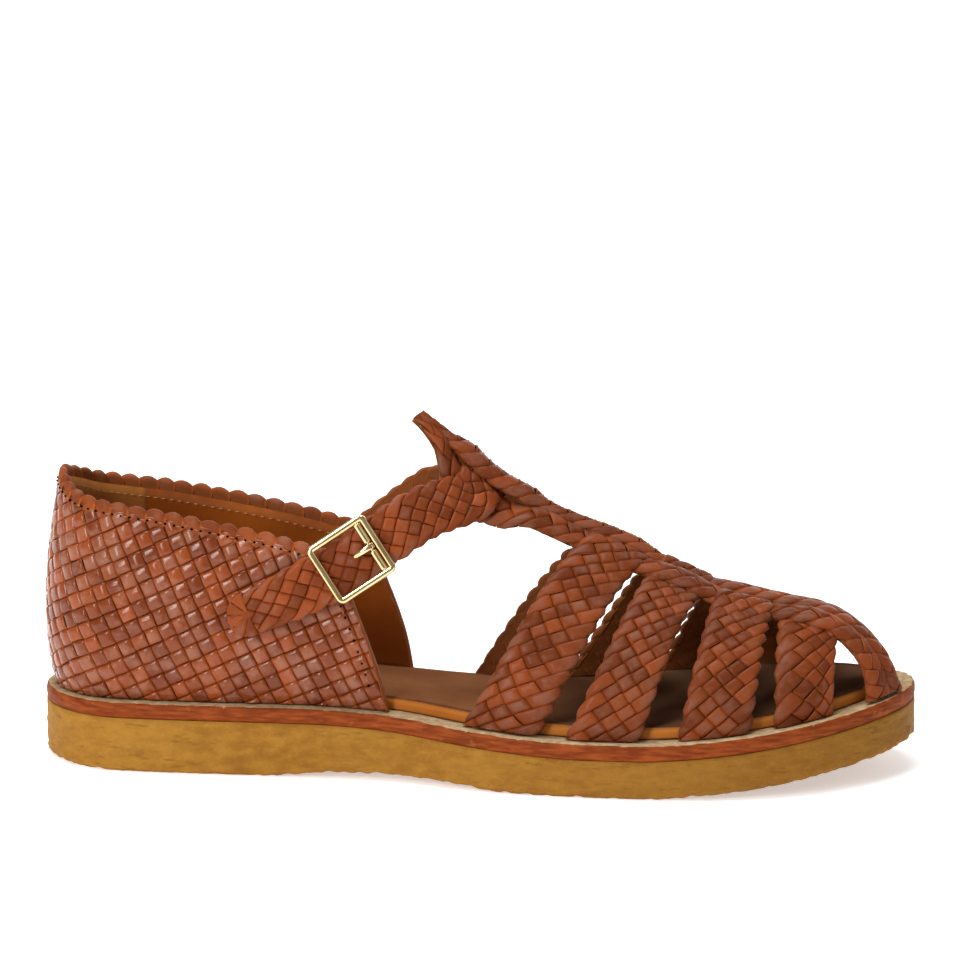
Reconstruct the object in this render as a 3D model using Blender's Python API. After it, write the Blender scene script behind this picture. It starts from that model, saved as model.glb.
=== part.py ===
"""Woven fisherman sandal for the right foot, empty, standing on its crepe sole.

Metres, +Z up, +X to the toe, -Y to the outer side of the foot, where the buckle is.
The origin lies on the floor under the middle of the sole.
"""

import math

import bmesh
import bpy
import numpy as np
from mathutils import Matrix

MM = 0.001

# Sole
SOLE_LENGTH = 262 * MM
BALL_WIDTH = 98.3 * MM
HEEL_WIDTH = 63.4 * MM
HEEL_CREPE = 16.6 * MM
FOREFOOT_CREPE = 11.6 * MM
CREPE_EDGE_ROUND = 1.8 * MM
TOE_SPRING = 9.5 * MM
ARCH_LIFT = 1.8 * MM
MIDSOLE_THICKNESS = 4.4 * MM
INSOLE_THICKNESS = 3.4 * MM
INSOLE_EDGE_ROUND = 1.6 * MM
SIDE_LEDGE = 4.6 * MM
HEEL_LEDGE = 2.7 * MM
CLEARANCE = 0.3 * MM
INSOLE_GAP = 1.3 * MM
SOLE_CUTS = 18

# Heel quarter
QUARTER_LENGTH = 118 * MM
QUARTER_HEIGHT = 63.5 * MM
INNER_REACH = 1.013
QUARTER_WALL = 2.4 * MM
QUARTER_STRIP = 4.9 * MM
QUARTER_RELIEF = 0.3 * MM
COUNTER_BULGE = 3.9 * MM
HEEL_LEAN = 1.9 * MM
COLLAR_LEAN = 5.2 * MM
LOBE_PITCH = 6.0 * MM
LOBE_HEIGHT = 1.3 * MM
WEAVE_SLOPE = math.radians(25)
FRONT_EDGE_STEP = 5 * MM
FEATHER_STEPS = 24

# Braided straps and spine
TONGUE_HEIGHT = 103.5 * MM
STRAP_WIDTH = 16.5 * MM
ANKLE_STRAP_WIDTH = 15.6 * MM
BRAID_THICKNESS = 2.6 * MM
BRAID_RELIEF = 0.25 * MM
BRAID_LOBE = 0.45 * MM
BRAID_STEP = 3.55 * MM
LANE_PITCH = 8.0 * MM
LANE_OVERLAP = 0.5 * MM
CROSSING_OFFSET = 0.95 * MM
SLIT_OFFSET = 2.0 * MM
SLIT_PARTING = 2.2 * MM
SLIT_PINCH = 0.08
CROSSING_REACH = 2.1
FLANK_BULGE = 1.5 * MM
ANKLE_TIP_LENGTH = 7 * MM
ANKLE_TIP_WIDTH = 0.80
ANKLE_TAPER_LENGTH = 20 * MM

# Buckle
BUCKLE_LENGTH = 19.6 * MM
BUCKLE_WIDTH = 19.0 * MM
WIRE_DIAMETER = 1.8 * MM
ROLLER_DIAMETER = 1.9 * MM
ROLLER_SETBACK = 2.3 * MM
PRONG_WIDTH = 1.7 * MM
PRONG_LENGTH = 6.5 * MM
PRONG_LOOP = 0.55 * MM
PRONG_HEEL = 2.4 * MM
PRONG_BLADE = 0.9 * MM
PRONG_TIP = 0.5 * MM
BUCKLE_CORNER = 1.3 * MM

# Sole outline, once round from the heel by the outer side.
# along: share of the sole length from the heel. across: share of the width there.
SOLE_OUTLINE = (
    (0.000, 0.000),
    (0.022, -0.270),
    (0.075, -0.455),
    (0.160, -0.500),
    (0.300, -0.508),
    (0.410, -0.480),
    (0.500, -0.512),
    (0.590, -0.505),
    (0.700, -0.485),
    (0.800, -0.458),
    (0.880, -0.375),
    (0.945, -0.240),
    (0.988, -0.080),
    (1.000, 0.080),
    (0.982, 0.230),
    (0.930, 0.388),
    (0.840, 0.500),
    (0.740, 0.515),
    (0.640, 0.435),
    (0.560, 0.355),
    (0.450, 0.360),
    (0.320, 0.455),
    (0.160, 0.500),
    (0.075, 0.455),
    (0.022, 0.270),
)

# Edge of one half of the quarter, from the heel seam along the collar and down its front.
# along: share of the quarter length. height: share of its height at the heel.
COLLAR_EDGE = (
    (0.000, 1.005),
    (0.090, 0.968),
    (0.195, 0.916),
    (0.416, 0.860),
    (0.673, 0.778),
    (0.850, 0.700),
)
FRONT_EDGE = (
    (0.850, 0.700),
    (0.893, 0.580),
    (0.925, 0.450),
    (0.955, 0.310),
    (0.980, 0.170),
    (1.000, 0.000),
)

# Sections of the last, from the tongue's tip over the instep to the toe.
# ridge along and foot along: shares of the sole length. across: share of the ball width.
# height: share of the tongue's height.
# inner shoulder: share of the way back to its foot that a strap has gone at the shoulder.
RIDGE_ALONG, RIDGE_ACROSS, RIDGE_HEIGHT, OUTER_FOOT, INNER_FOOT, INNER_SHOULDER = range(6)
LAST_SECTIONS = (
    (0.434, 0.020, 1.006, 0.310, 0.310, 0.12),
    (0.485, 0.020, 0.906, 0.378, 0.370, 0.12),
    (0.526, 0.020, 0.816, 0.420, 0.416, 0.12),
    (0.592, 0.030, 0.731, 0.475, 0.473, 0.12),
    (0.676, 0.040, 0.636, 0.531, 0.508, 0.10),
    (0.739, 0.040, 0.557, 0.661, 0.622, 0.36),
    (0.809, 0.030, 0.496, 0.783, 0.732, 0.36),
    (0.889, 0.010, 0.455, 0.892, 0.848, 0.30),
    (0.934, -0.020, 0.409, 0.922, 0.912, 0.30),
    (0.964, -0.050, 0.343, 0.932, 0.930, 0.30),
    (0.982, -0.070, 0.244, 0.934, 0.946, 0.30),
)
OUTER_SHOULDER = 0.34
# Shares of the way from ridge to foot for the shoulder, and from foot to ridge for the flank.
SHOULDER_OUT, SHOULDER_DROP = 0.52, 0.05
FLANK_BACK, FLANK_RISE = 0.45, 0.55
ANKLE_SECTION = 1.8
# Where the slit for the ankle strap begins, is open, and closes again, from its middle.
SLIT_STEPS = (-1.30, -0.78, 0.74, 1.25)
STRAP_SECTIONS = {"a": 4.0, "b": 5.0, "c": 6.0, "d": 7.0}
# Shares of the strap width where each strap crosses the spine, on its flank and at its feet.
STRAP_WIDTHS = {
    "a": (1.00, 1.18, 1.24),
    "b": (1.00, 1.00, 1.16),
    "c": (1.00, 1.06, 1.20),
    "d": (1.00, 1.08, 1.22),
}

# Which lane of the spine lies over (+1) or under (-1) each strap, heel side first.
LANE_ORDER = {
    "outer": (-1, -1, 1, -1, 1),
    "middle": (1, 1, -1, 1, 1),
    "inner": (1, -1, 1, -1, 1),
}
LANE_PLACE = {"outer": -1, "middle": 0, "inner": 1}
# Share of the slit's parting by which each lane moves aside for the ankle strap.
LANE_SHIFT = {"outer": -1.0, "middle": 0.3, "inner": 0.1}

# Ankle strap, from its free end on the outer quarter to its sewn end on the inner quarter.
# On the quarter, along and height are shares of the quarter's length and height.
ANKLE_OUTER = ((0.600, 0.395), (0.705, 0.478), (0.803, 0.572), (0.898, 0.672))
ANKLE_INNER = ((0.880, 0.600), (0.800, 0.515), (0.730, 0.440))
# On each bridge, along, across and height are shares of the sole's length, the ball width
# and the tongue's height. roll turns the strap from flat on the instep to upright.
OUTER_BRIDGE = ((0.410, -0.285, 0.702, -72), (0.450, -0.210, 0.762, -54))
INNER_BRIDGE = ((0.458, 0.194, 0.766, 50), (0.414, 0.255, 0.690, 70))
# Through the slit: distance from the ridge in lane pitches, then over (+1) or under (-1).
ANKLE_SLIT = (
    (-1.60, 0.9),
    (-1.05, 1.1),
    (-0.65, 0.0),
    (-0.27, -1.5),
    (0.50, -1.5),
    (1.10, -2.0),
    (1.60, -2.4),
)
BUCKLE_PLACE = 0.235


def smooth(value):
    value = min(max(value, 0.0), 1.0)
    return value * value * (3 - 2 * value)


def spline(rows, place):
    """A smooth curve through the rows, read at a place counted in rows."""
    rows = np.asarray(rows, float)
    low = int(min(max(math.floor(place), 0), len(rows) - 2))
    t = place - low
    before = rows[low - 1] if low > 0 else 2 * rows[0] - rows[1]
    after = rows[low + 2] if low + 2 < len(rows) else 2 * rows[-1] - rows[-2]
    start, end = rows[low], rows[low + 1]
    slope_in = (end - before) / 2
    slope_out = (after - start) / 2
    return (
        (2 * t**3 - 3 * t**2 + 1) * start
        + (t**3 - 2 * t**2 + t) * slope_in
        + (3 * t**2 - 2 * t**3) * end
        + (t**3 - t**2) * slope_out
    )


def lengths_along(points):
    steps = np.linalg.norm(np.diff(points, axis=0), axis=1)
    return np.concatenate([[0.0], np.cumsum(steps)])


def unit(vector):
    return vector / np.linalg.norm(vector)


def material(name, colour, roughness, metallic=0.0):
    made = bpy.data.materials.new(name)
    made.use_nodes = True
    shader = made.node_tree.nodes["Principled BSDF"]
    shader.inputs["Base Color"].default_value = (*colour, 1.0)
    shader.inputs["Roughness"].default_value = roughness
    shader.inputs["Metallic"].default_value = metallic
    return made


def object_from(bm, name, finish=None):
    bmesh.ops.recalc_face_normals(bm, faces=bm.faces)
    mesh = bpy.data.meshes.new(name)
    bm.to_mesh(mesh)
    bm.free()
    made = bpy.data.objects.new(name, mesh)
    bpy.context.scene.collection.objects.link(made)
    if finish:
        mesh.materials.append(finish)
    return made


def cutter(made):
    made.hide_render = True
    made.display_type = "WIRE"
    return made


def evaluated_copy(made):
    graph = bpy.context.evaluated_depsgraph_get()
    return bpy.data.meshes.new_from_object(made.evaluated_get(graph))


def keep_outer_shell(bm):
    """Deletes the small closed pockets that a union leaves inside."""
    shells = []
    waiting = set(bm.verts)
    while waiting:
        shell = {waiting.pop()}
        edge = list(shell)
        while edge:
            vert = edge.pop()
            for link in vert.link_edges:
                other = link.other_vert(vert)
                if other in waiting:
                    waiting.discard(other)
                    shell.add(other)
                    edge.append(other)
        shells.append(shell)
    shells.sort(key=len)
    for shell in shells[:-1]:
        bmesh.ops.delete(bm, geom=list(shell), context="VERTS")


# The sole's plan and heights


def along_share(x):
    return x / SOLE_LENGTH + 0.5


def local_width(share):
    return HEEL_WIDTH + (BALL_WIDTH - HEEL_WIDTH) * smooth((share - 0.30) / 0.40)


def ledge(share):
    return HEEL_LEDGE + (SIDE_LEDGE - HEEL_LEDGE) * smooth(share / 0.10)


def sole_plan(steps=2):
    """Points of the sole's outline, from the heel round by the outer side."""
    count = len(SOLE_OUTLINE)
    rows = [
        ((along - 0.5) * SOLE_LENGTH, across * local_width(along))
        for along, across in SOLE_OUTLINE
    ]
    closed = rows[-2:] + rows + rows[:3]
    return np.array([spline(closed, 2 + k / steps) for k in range(count * steps)])


def inset_plan(extra, steps=2):
    """The line a distance inside the edge of the upper, which stands on the sole's ledge."""
    points = sole_plan(steps)
    along = np.roll(points, -1, axis=0) - np.roll(points, 1, axis=0)
    along /= np.linalg.norm(along, axis=1)[:, None]
    inward = np.stack([-along[:, 1], along[:, 0]], axis=1)
    depth = np.array([ledge(along_share(x)) + extra for x in points[:, 0]])
    return points + inward * depth[:, None]


def sole_bottom(x):
    share = along_share(x)
    spring = TOE_SPRING * max((share - 0.70) / 0.30, 0.0) ** 1.5
    arch = ARCH_LIFT * smooth((share - 0.26) / 0.10) * smooth((0.56 - share) / 0.10)
    return spring + arch


def crepe_top(x):
    drop = smooth((along_share(x) - 0.30) / 0.35)
    crepe = HEEL_CREPE + (FOREFOOT_CREPE - HEEL_CREPE) * drop
    return TOE_SPRING * max((along_share(x) - 0.70) / 0.30, 0.0) ** 1.5 + crepe


def midsole_top(x):
    return crepe_top(x) + MIDSOLE_THICKNESS


def sole_layer(name, plan, low, high, finish, round_low=0.0, round_high=0.0):
    """A closed layer over a plan, with cross cuts so that it can follow the spring."""
    thickness = high(0.0) - low(0.0)
    bm = bmesh.new()
    bm.faces.new([bm.verts.new((x, y, 0.0)) for x, y in plan])
    raised = bmesh.ops.extrude_face_region(bm, geom=bm.faces[:])
    top = [item for item in raised["geom"] if isinstance(item, bmesh.types.BMVert)]
    bmesh.ops.translate(bm, verts=top, vec=(0.0, 0.0, thickness))
    for level, radius in ((0.0, round_low), (thickness, round_high)):
        if radius:
            rim = [e for e in bm.edges if all(abs(v.co.z - level) < 1e-7 for v in e.verts)]
            bmesh.ops.bevel(
                bm,
                geom=rim,
                offset=radius,
                segments=2,
                profile=0.5,
                affect="EDGES",
                material=-1,
            )
    for k in range(1, SOLE_CUTS):
        everything = bm.verts[:] + bm.edges[:] + bm.faces[:]
        x = (k / SOLE_CUTS - 0.5) * SOLE_LENGTH
        bmesh.ops.bisect_plane(
            bm, geom=everything, dist=1e-6, plane_co=(x, 0, 0), plane_no=(1, 0, 0)
        )
    for vert in bm.verts:
        share = vert.co.z / thickness
        base = low(vert.co.x)
        vert.co.z = base + share * (high(vert.co.x) - base)
    bmesh.ops.triangulate(bm, faces=bm.faces)
    return object_from(bm, name, finish)


def make_outsole():
    finish = material("natural_crepe", (0.50, 0.26, 0.06), 0.75)
    plan = sole_plan()
    gap = CLEARANCE
    sole_layer(
        "outsole",
        plan,
        sole_bottom,
        lambda x: crepe_top(x) - gap,
        finish,
        round_low=CREPE_EDGE_ROUND,
    )


def make_midsole():
    finish = material("rust_leather_edge", (0.38, 0.13, 0.05), 0.7)
    sole_layer("midsole", sole_plan(), crepe_top, midsole_top, finish)


def make_insole():
    finish = material("brown_insole_leather", (0.22, 0.11, 0.05), 0.6)
    plan = inset_plan(BRAID_THICKNESS + INSOLE_GAP)
    sole_layer(
        "insole",
        plan,
        lambda x: midsole_top(x) + CLEARANCE,
        lambda x: midsole_top(x) + INSOLE_THICKNESS,
        finish,
        round_high=INSOLE_EDGE_ROUND,
    )


# The woven heel quarter, cut in the flat and then lasted round the heel


class HeelWall:
    """The wall over the feather line: length along it from the heel, height up it."""

    def __init__(self):
        plan = inset_plan(QUARTER_WALL / 2, steps=6)
        half = len(plan) // 2
        outer = plan[:half]
        inner = np.vstack([plan[:1], plan[:half:-1]])
        self.sides = {-1: (outer, lengths_along(outer)), 1: (inner, lengths_along(inner))}

    def foot(self, side, length):
        points, lengths = self.sides[side]
        place = [np.interp(length, lengths, points[:, k]) for k in (0, 1)]
        return np.array(place)

    def outward(self, side, length):
        if length < 1e-9:
            return np.array([-1.0, 0.0])
        step = 2 * MM
        ahead = self.foot(side, length + step)
        behind = self.foot(side, length - step)
        if length < step:
            behind = self.foot(side, step - length) * np.array([1.0, -1.0])
        along = unit(ahead - behind)
        return np.array([along[1], -along[0]]) * -side

    def lean(self, length, height):
        t = height / QUARTER_HEIGHT
        back = 1 - smooth(length / (0.45 * QUARTER_LENGTH))
        inward = COLLAR_LEAN + (HEEL_LEAN - COLLAR_LEAN) * back
        rounded = max(math.sin(math.pi * min(max(t, 0.0), 1.0)), 0.0) ** 0.8
        return COUNTER_BULGE * rounded * (1 - 0.5 * t) - inward * t * t

    def frame(self, side, length, height):
        """Point on the wall's middle and its outward direction."""
        foot = self.foot(side, length)
        outward = self.outward(side, length)
        level = min(max(height, 0.0), QUARTER_HEIGHT)
        here = self.lean(length, level)
        rise = (self.lean(length, level + 0.5 * MM) - self.lean(length, level - 0.5 * MM)) / MM
        rise *= smooth(height / (6 * MM))
        plan = foot + outward * here
        z = midsole_top(foot[0]) + CLEARANCE + height
        return np.array([*plan, z]), unit(np.array([*outward, -rise]))

    def place(self, side, length, height, off):
        point, outward = self.frame(side, length, height)
        return point + outward * off


def edge_points(rows, spacing):
    """Evenly spaced points on the smooth edge through rows given in shares."""
    scale = np.array([QUARTER_LENGTH, QUARTER_HEIGHT])
    fine = np.array([spline(rows, k / 12) for k in range(12 * (len(rows) - 1) + 1)]) * scale
    lengths = lengths_along(fine)
    count = max(round(lengths[-1] / spacing), 2)
    marks = np.linspace(0.0, lengths[-1], count + 1)
    return np.stack([np.interp(marks, lengths, fine[:, k]) for k in (0, 1)], axis=1), marks


def half_panel_edge():
    """Edge of half the quarter in the flat, with the collar's lobes."""
    lobe_steps = 3
    collar, marks = edge_points(COLLAR_EDGE, LOBE_PITCH / lobe_steps)
    along = np.gradient(collar, axis=0)
    along /= np.linalg.norm(along, axis=1)[:, None]
    outward = np.stack([-along[:, 1], along[:, 0]], axis=1)
    lobes = LOBE_HEIGHT * np.abs(np.sin(math.pi * marks / LOBE_PITCH))
    outward[0] = (0.0, 1.0)
    collar = collar + outward * lobes[:, None]
    front, _ = edge_points(FRONT_EDGE, FRONT_EDGE_STEP)
    feather = [(QUARTER_LENGTH * (1 - k / FEATHER_STEPS), 0.0) for k in range(1, FEATHER_STEPS + 1)]
    return [*map(tuple, collar), *map(tuple, front[1:]), *feather]


def woven_sheet():
    """A flat sheet of plain weave: every tile is a low pillow over a smooth back."""
    step = QUARTER_STRIP
    reach = QUARTER_LENGTH + QUARTER_HEIGHT
    ahead = np.array([math.cos(WEAVE_SLOPE), math.sin(WEAVE_SLOPE)]) * step
    across = np.array([-math.sin(WEAVE_SLOPE), math.cos(WEAVE_SLOPE)]) * step
    columns = 2 * math.ceil(reach * math.cos(WEAVE_SLOPE) / step / 2) + 4
    rows = 2 * math.ceil(reach / step / 2) + 4
    start = -across * (rows * 0.55) - ahead * 2
    low = QUARTER_WALL / 2 - QUARTER_RELIEF
    high = QUARTER_WALL / 2 + QUARTER_RELIEF
    back = -QUARTER_WALL / 2
    bm = bmesh.new()

    def vert(i, j, z):
        x, y = start + ahead * i + across * j
        return bm.verts.new((x, y, z))

    face = {(i, j): vert(i, j, low) for i in range(columns + 1) for j in range(rows + 1)}
    rear = {
        (i, j): vert(i, j, back)
        for i in range(0, columns + 1, 2)
        for j in range(0, rows + 1, 2)
    }
    for i in range(columns):
        for j in range(rows):
            middle = vert(i + 0.5, j + 0.5, high)
            corners = [face[i, j], face[i + 1, j], face[i + 1, j + 1], face[i, j + 1]]
            for k in range(4):
                bm.faces.new((corners[k], corners[(k + 1) % 4], middle))
    for i in range(0, columns, 2):
        for j in range(0, rows, 2):
            bm.faces.new((rear[i, j], rear[i, j + 2], rear[i + 2, j + 2], rear[i + 2, j]))
    for i in range(0, columns, 2):
        for j in (0, rows):
            bm.faces.new((rear[i, j], rear[i + 2, j], face[i + 2, j], face[i + 1, j], face[i, j]))
    for j in range(0, rows, 2):
        for i in (0, columns):
            bm.faces.new((rear[i, j], rear[i, j + 2], face[i, j + 2], face[i, j + 1], face[i, j]))
    return object_from(bm, "woven_sheet")


def make_quarter(wall):
    finish = material("woven_brown_leather", (0.33, 0.10, 0.04), 0.35)
    sheet = woven_sheet()
    bm = bmesh.new()
    depth = 4 * QUARTER_WALL
    bm.faces.new([bm.verts.new((a, h, -depth)) for a, h in half_panel_edge()])
    raised = bmesh.ops.extrude_face_region(bm, geom=bm.faces[:])
    top = [item for item in raised["geom"] if isinstance(item, bmesh.types.BMVert)]
    bmesh.ops.translate(bm, verts=top, vec=(0.0, 0.0, 2 * depth))
    shape = cutter(object_from(bm, "quarter_pattern"))
    cut = sheet.modifiers.new("cut_out", "BOOLEAN")
    cut.operation = "INTERSECT"
    cut.solver = "EXACT"
    cut.object = shape
    flat = evaluated_copy(sheet)
    bpy.data.objects.remove(sheet)
    bpy.data.objects.remove(shape)

    bm = bmesh.new()
    bm.from_mesh(flat)
    bmesh.ops.remove_doubles(bm, verts=bm.verts, dist=1e-6)
    seam = [f for f in bm.faces if all(abs(v.co.x) < 1e-6 for v in f.verts)]
    bmesh.ops.delete(bm, geom=seam, context="FACES")
    bmesh.ops.triangulate(bm, faces=bm.faces)
    other = bmesh.ops.duplicate(bm, geom=bm.verts[:] + bm.edges[:] + bm.faces[:])
    copied = [item for item in other["geom"] if isinstance(item, bmesh.types.BMVert)]
    places = {vert: 1 for vert in bm.verts}
    places.update({vert: -1 for vert in copied})
    for vert, side in places.items():
        length, height, off = vert.co
        reach = INNER_REACH if side > 0 else 1.0
        vert.co = wall.place(side, max(length, 0.0) * reach, height, off)
    bmesh.ops.reverse_faces(
        bm, faces=[f for f in bm.faces if places[f.verts[0]] == -1]
    )
    bmesh.ops.remove_doubles(bm, verts=bm.verts, dist=2e-6)
    object_from(bm, "quarter", finish)


# The last under the straps and the spine


class Last:
    """The surface through the middle of the braids: a place along, and -1 to 1 across."""

    def __init__(self):
        plan = inset_plan(BRAID_THICKNESS / 2, steps=6)
        toe = int(np.argmax(plan[:, 0]))
        self.sides = {-1: plan[: toe + 1], 1: plan[:toe - 1:-1]}

    def foot(self, side, along):
        points = self.sides[side]
        x = (along - 0.5) * SOLE_LENGTH
        y = np.interp(x, points[:, 0], points[:, 1])
        return np.array([x, y, midsole_top(x) + CLEARANCE * 1.4])

    def rib(self, place, side):
        """Four control points of half a section, from the ridge to the feather line."""
        row = spline(LAST_SECTIONS, place)
        ridge = np.array(
            [
                (row[RIDGE_ALONG] - 0.5) * SOLE_LENGTH,
                row[RIDGE_ACROSS] * BALL_WIDTH,
                row[RIDGE_HEIGHT] * TONGUE_HEIGHT,
            ]
        )
        foot = self.foot(side, row[OUTER_FOOT] if side < 0 else row[INNER_FOOT])
        x, y, z = foot - ridge
        bulge = min(FLANK_BULGE, -0.06 * z)
        share = OUTER_SHOULDER if side < 0 else row[INNER_SHOULDER]
        shoulder = ridge + np.array([share * x, SHOULDER_OUT * y, SHOULDER_DROP * z])
        flank = foot + np.array([-FLANK_BACK * x, side * bulge, -FLANK_RISE * z])
        return ridge, shoulder, flank, foot

    def point(self, place, across):
        side = -1 if across < 0 else 1
        a, b, c, d = self.rib(place, side)
        t = abs(across)
        s = 1 - t
        return s**3 * a + 3 * s**2 * t * b + 3 * s * t**2 * c + t**3 * d

    def along_and_across(self, place, across):
        step = 0.02
        along = (self.point(place + step, across) - self.point(place - step, across)) / (2 * step)
        low = max(across - step, -1.0)
        high = min(across + step, 1.0)
        side = (self.point(place, high) - self.point(place, low)) / (high - low)
        return along, side

    def outward(self, place, across):
        along, side = self.along_and_across(place, across)
        return unit(np.cross(along, side))

    def across_at(self, place, distance):
        """The share across at a distance from the ridge, measured over the surface."""
        side = -1 if distance < 0 else 1
        marks = np.linspace(0.0, 1.0, 25)
        points = np.array([self.point(place, side * mark) for mark in marks])
        return side * np.interp(abs(distance), lengths_along(points), marks)


def wave(place, knots, values):
    """Eases from value to value, level at each knot."""
    if place <= knots[0]:
        return values[0]
    for k in range(len(knots) - 1):
        if place <= knots[k + 1]:
            t = smooth((place - knots[k]) / (knots[k + 1] - knots[k]))
            return values[k] + (values[k + 1] - values[k]) * t
    return values[-1]


def braid_solid(name, place, steps, cells, width, finish=None, tip=None):
    """A flat braid: pillowed strips above, smooth below, with lobed edges.

    place(t, e) gives the middle point and outward direction at a share t of the length
    and a distance e from the centre line. width(t) and tip(t) shape the ends.
    """
    bm = bmesh.new()
    top = BRAID_THICKNESS / 2
    rows = []
    for i in range(steps + 1):
        t = i / steps
        half = width(t) / 2
        row = []
        for j in range(cells + 1):
            raised = (i + j) % 2 == 1
            edge = j in (0, cells)
            e = half * (2 * j / cells - 1)
            if edge:
                e += math.copysign(BRAID_LOBE if raised else -BRAID_LOBE, e)
            point, outward = place(t, e)
            off = -top if edge else top + (BRAID_RELIEF if raised else -BRAID_RELIEF)
            row.append(bm.verts.new(point + outward * off))
        point, outward = place(t, 0.0)
        back = bm.verts.new(point - outward * top)
        rows.append((row, back))
    for i in range(steps):
        (row, back), (after, back_after) = rows[i], rows[i + 1]
        for j in range(cells):
            a, b, c, d = row[j], row[j + 1], after[j + 1], after[j]
            if (i + j) % 2 == 1:
                bm.faces.new((a, b, d))
                bm.faces.new((b, c, d))
            else:
                bm.faces.new((a, b, c))
                bm.faces.new((a, c, d))
        bm.faces.new((row[0], after[0], back_after, back))
        bm.faces.new((back, back_after, after[-1], row[-1]))
    for row, back in (rows[0], rows[-1]):
        bm.faces.new([*row, back])
    bmesh.ops.triangulate(bm, faces=bm.faces)
    return object_from(bm, name, finish)


def lane_offset(lane, place):
    """How far a lane rises over, or dips under, the straps that it crosses."""
    knots = [ANKLE_SECTION + step for step in SLIT_STEPS]
    values = [0.0] + [LANE_ORDER[lane][0] * SLIT_OFFSET] * 2 + [0.0]
    for order, section in zip(LANE_ORDER[lane][1:], STRAP_SECTIONS.values()):
        knots.append(section)
        values.append(order * CROSSING_OFFSET)
    last = len(LAST_SECTIONS) - 1.0
    knots.append(last - 1.0)
    values.append(0.0)
    return wave(place, knots, values)


def spine_spread(place):
    """Share of the full lane pitch: narrow at the tongue's tip, wide at the toe."""
    last = len(LAST_SECTIONS) - 1.0
    return wave(place, [0.0, 1.5, last - 2.0, last], [0.36, 1.0, 0.96, 1.06])


def lane_centre(lane, place):
    knots = [ANKLE_SECTION + step for step in SLIT_STEPS]
    parted = SLIT_PARTING * LANE_SHIFT[lane]
    shift = wave(place, knots, [0.0, parted, parted, 0.0])
    return LANE_PLACE[lane] * LANE_PITCH * spine_spread(place) + shift


def spine_lane(last, lane):
    count = len(LAST_SECTIONS) - 1
    marks = np.linspace(0.0, count, 12 * count + 1)
    ridge = np.array([last.point(mark, 0.0) for mark in marks])
    lengths = lengths_along(ridge)

    def place(t, e):
        section = np.interp(t * lengths[-1], lengths, marks)
        across = last.across_at(section, lane_centre(lane, section) + e)
        outward = last.outward(section, across)
        return last.point(section, across) + outward * lane_offset(lane, section), outward

    def width(t):
        section = np.interp(t * lengths[-1], lengths, marks)
        return LANE_PITCH * spine_spread(section) + LANE_OVERLAP

    steps = round(lengths[-1] / BRAID_STEP)
    return braid_solid(f"lane_{lane}", place, steps, 2, width)


def cross_strap(last, name, section):
    marks = np.linspace(-1.0, 1.0, 61)
    centre = np.array([last.point(section, mark) for mark in marks])
    lengths = lengths_along(centre)
    middle = lengths[len(marks) // 2]
    number = list(STRAP_SECTIONS).index(name) + 1
    knots = [-CROSSING_REACH * LANE_PITCH]
    values = [0.0]
    for lane, at in LANE_PLACE.items():
        knots.append(at * LANE_PITCH)
        values.append(-LANE_ORDER[lane][number] * CROSSING_OFFSET)
    knots.append(CROSSING_REACH * LANE_PITCH)
    values.append(0.0)

    def place(t, e):
        length = t * lengths[-1]
        across = np.interp(length, lengths, marks)
        along, side = last.along_and_across(section, across)
        side = unit(side)
        spread = np.linalg.norm(along - side * (along @ side))
        at = section + e / spread
        outward = last.outward(at, across)
        return last.point(at, across) + outward * wave(length - middle, knots, values), outward

    def width(t):
        across = abs(np.interp(t * lengths[-1], lengths, marks))
        return STRAP_WIDTH * spline(STRAP_WIDTHS[name], 2 * across)

    steps = round(lengths[-1] / BRAID_STEP)
    return braid_solid(f"strap_{name}", place, steps, 6, width)


def make_vamp(last):
    finish = material("braided_brown_leather", (0.30, 0.09, 0.04), 0.5)
    base = spine_lane(last, "middle")
    parts = [spine_lane(last, lane) for lane in ("outer", "inner")]
    parts += [cross_strap(last, name, at) for name, at in STRAP_SECTIONS.items()]
    for part in parts:
        join = base.modifiers.new(part.name, "BOOLEAN")
        join.operation = "UNION"
        join.solver = "EXACT"
        join.object = part
    joined = evaluated_copy(base)
    for part in (base, *parts):
        bpy.data.objects.remove(part)
    bm = bmesh.new()
    bm.from_mesh(joined)
    bmesh.ops.remove_doubles(bm, verts=bm.verts, dist=1e-7)
    keep_outer_shell(bm)
    object_from(bm, "vamp", finish)


# The ankle strap and its buckle


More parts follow.
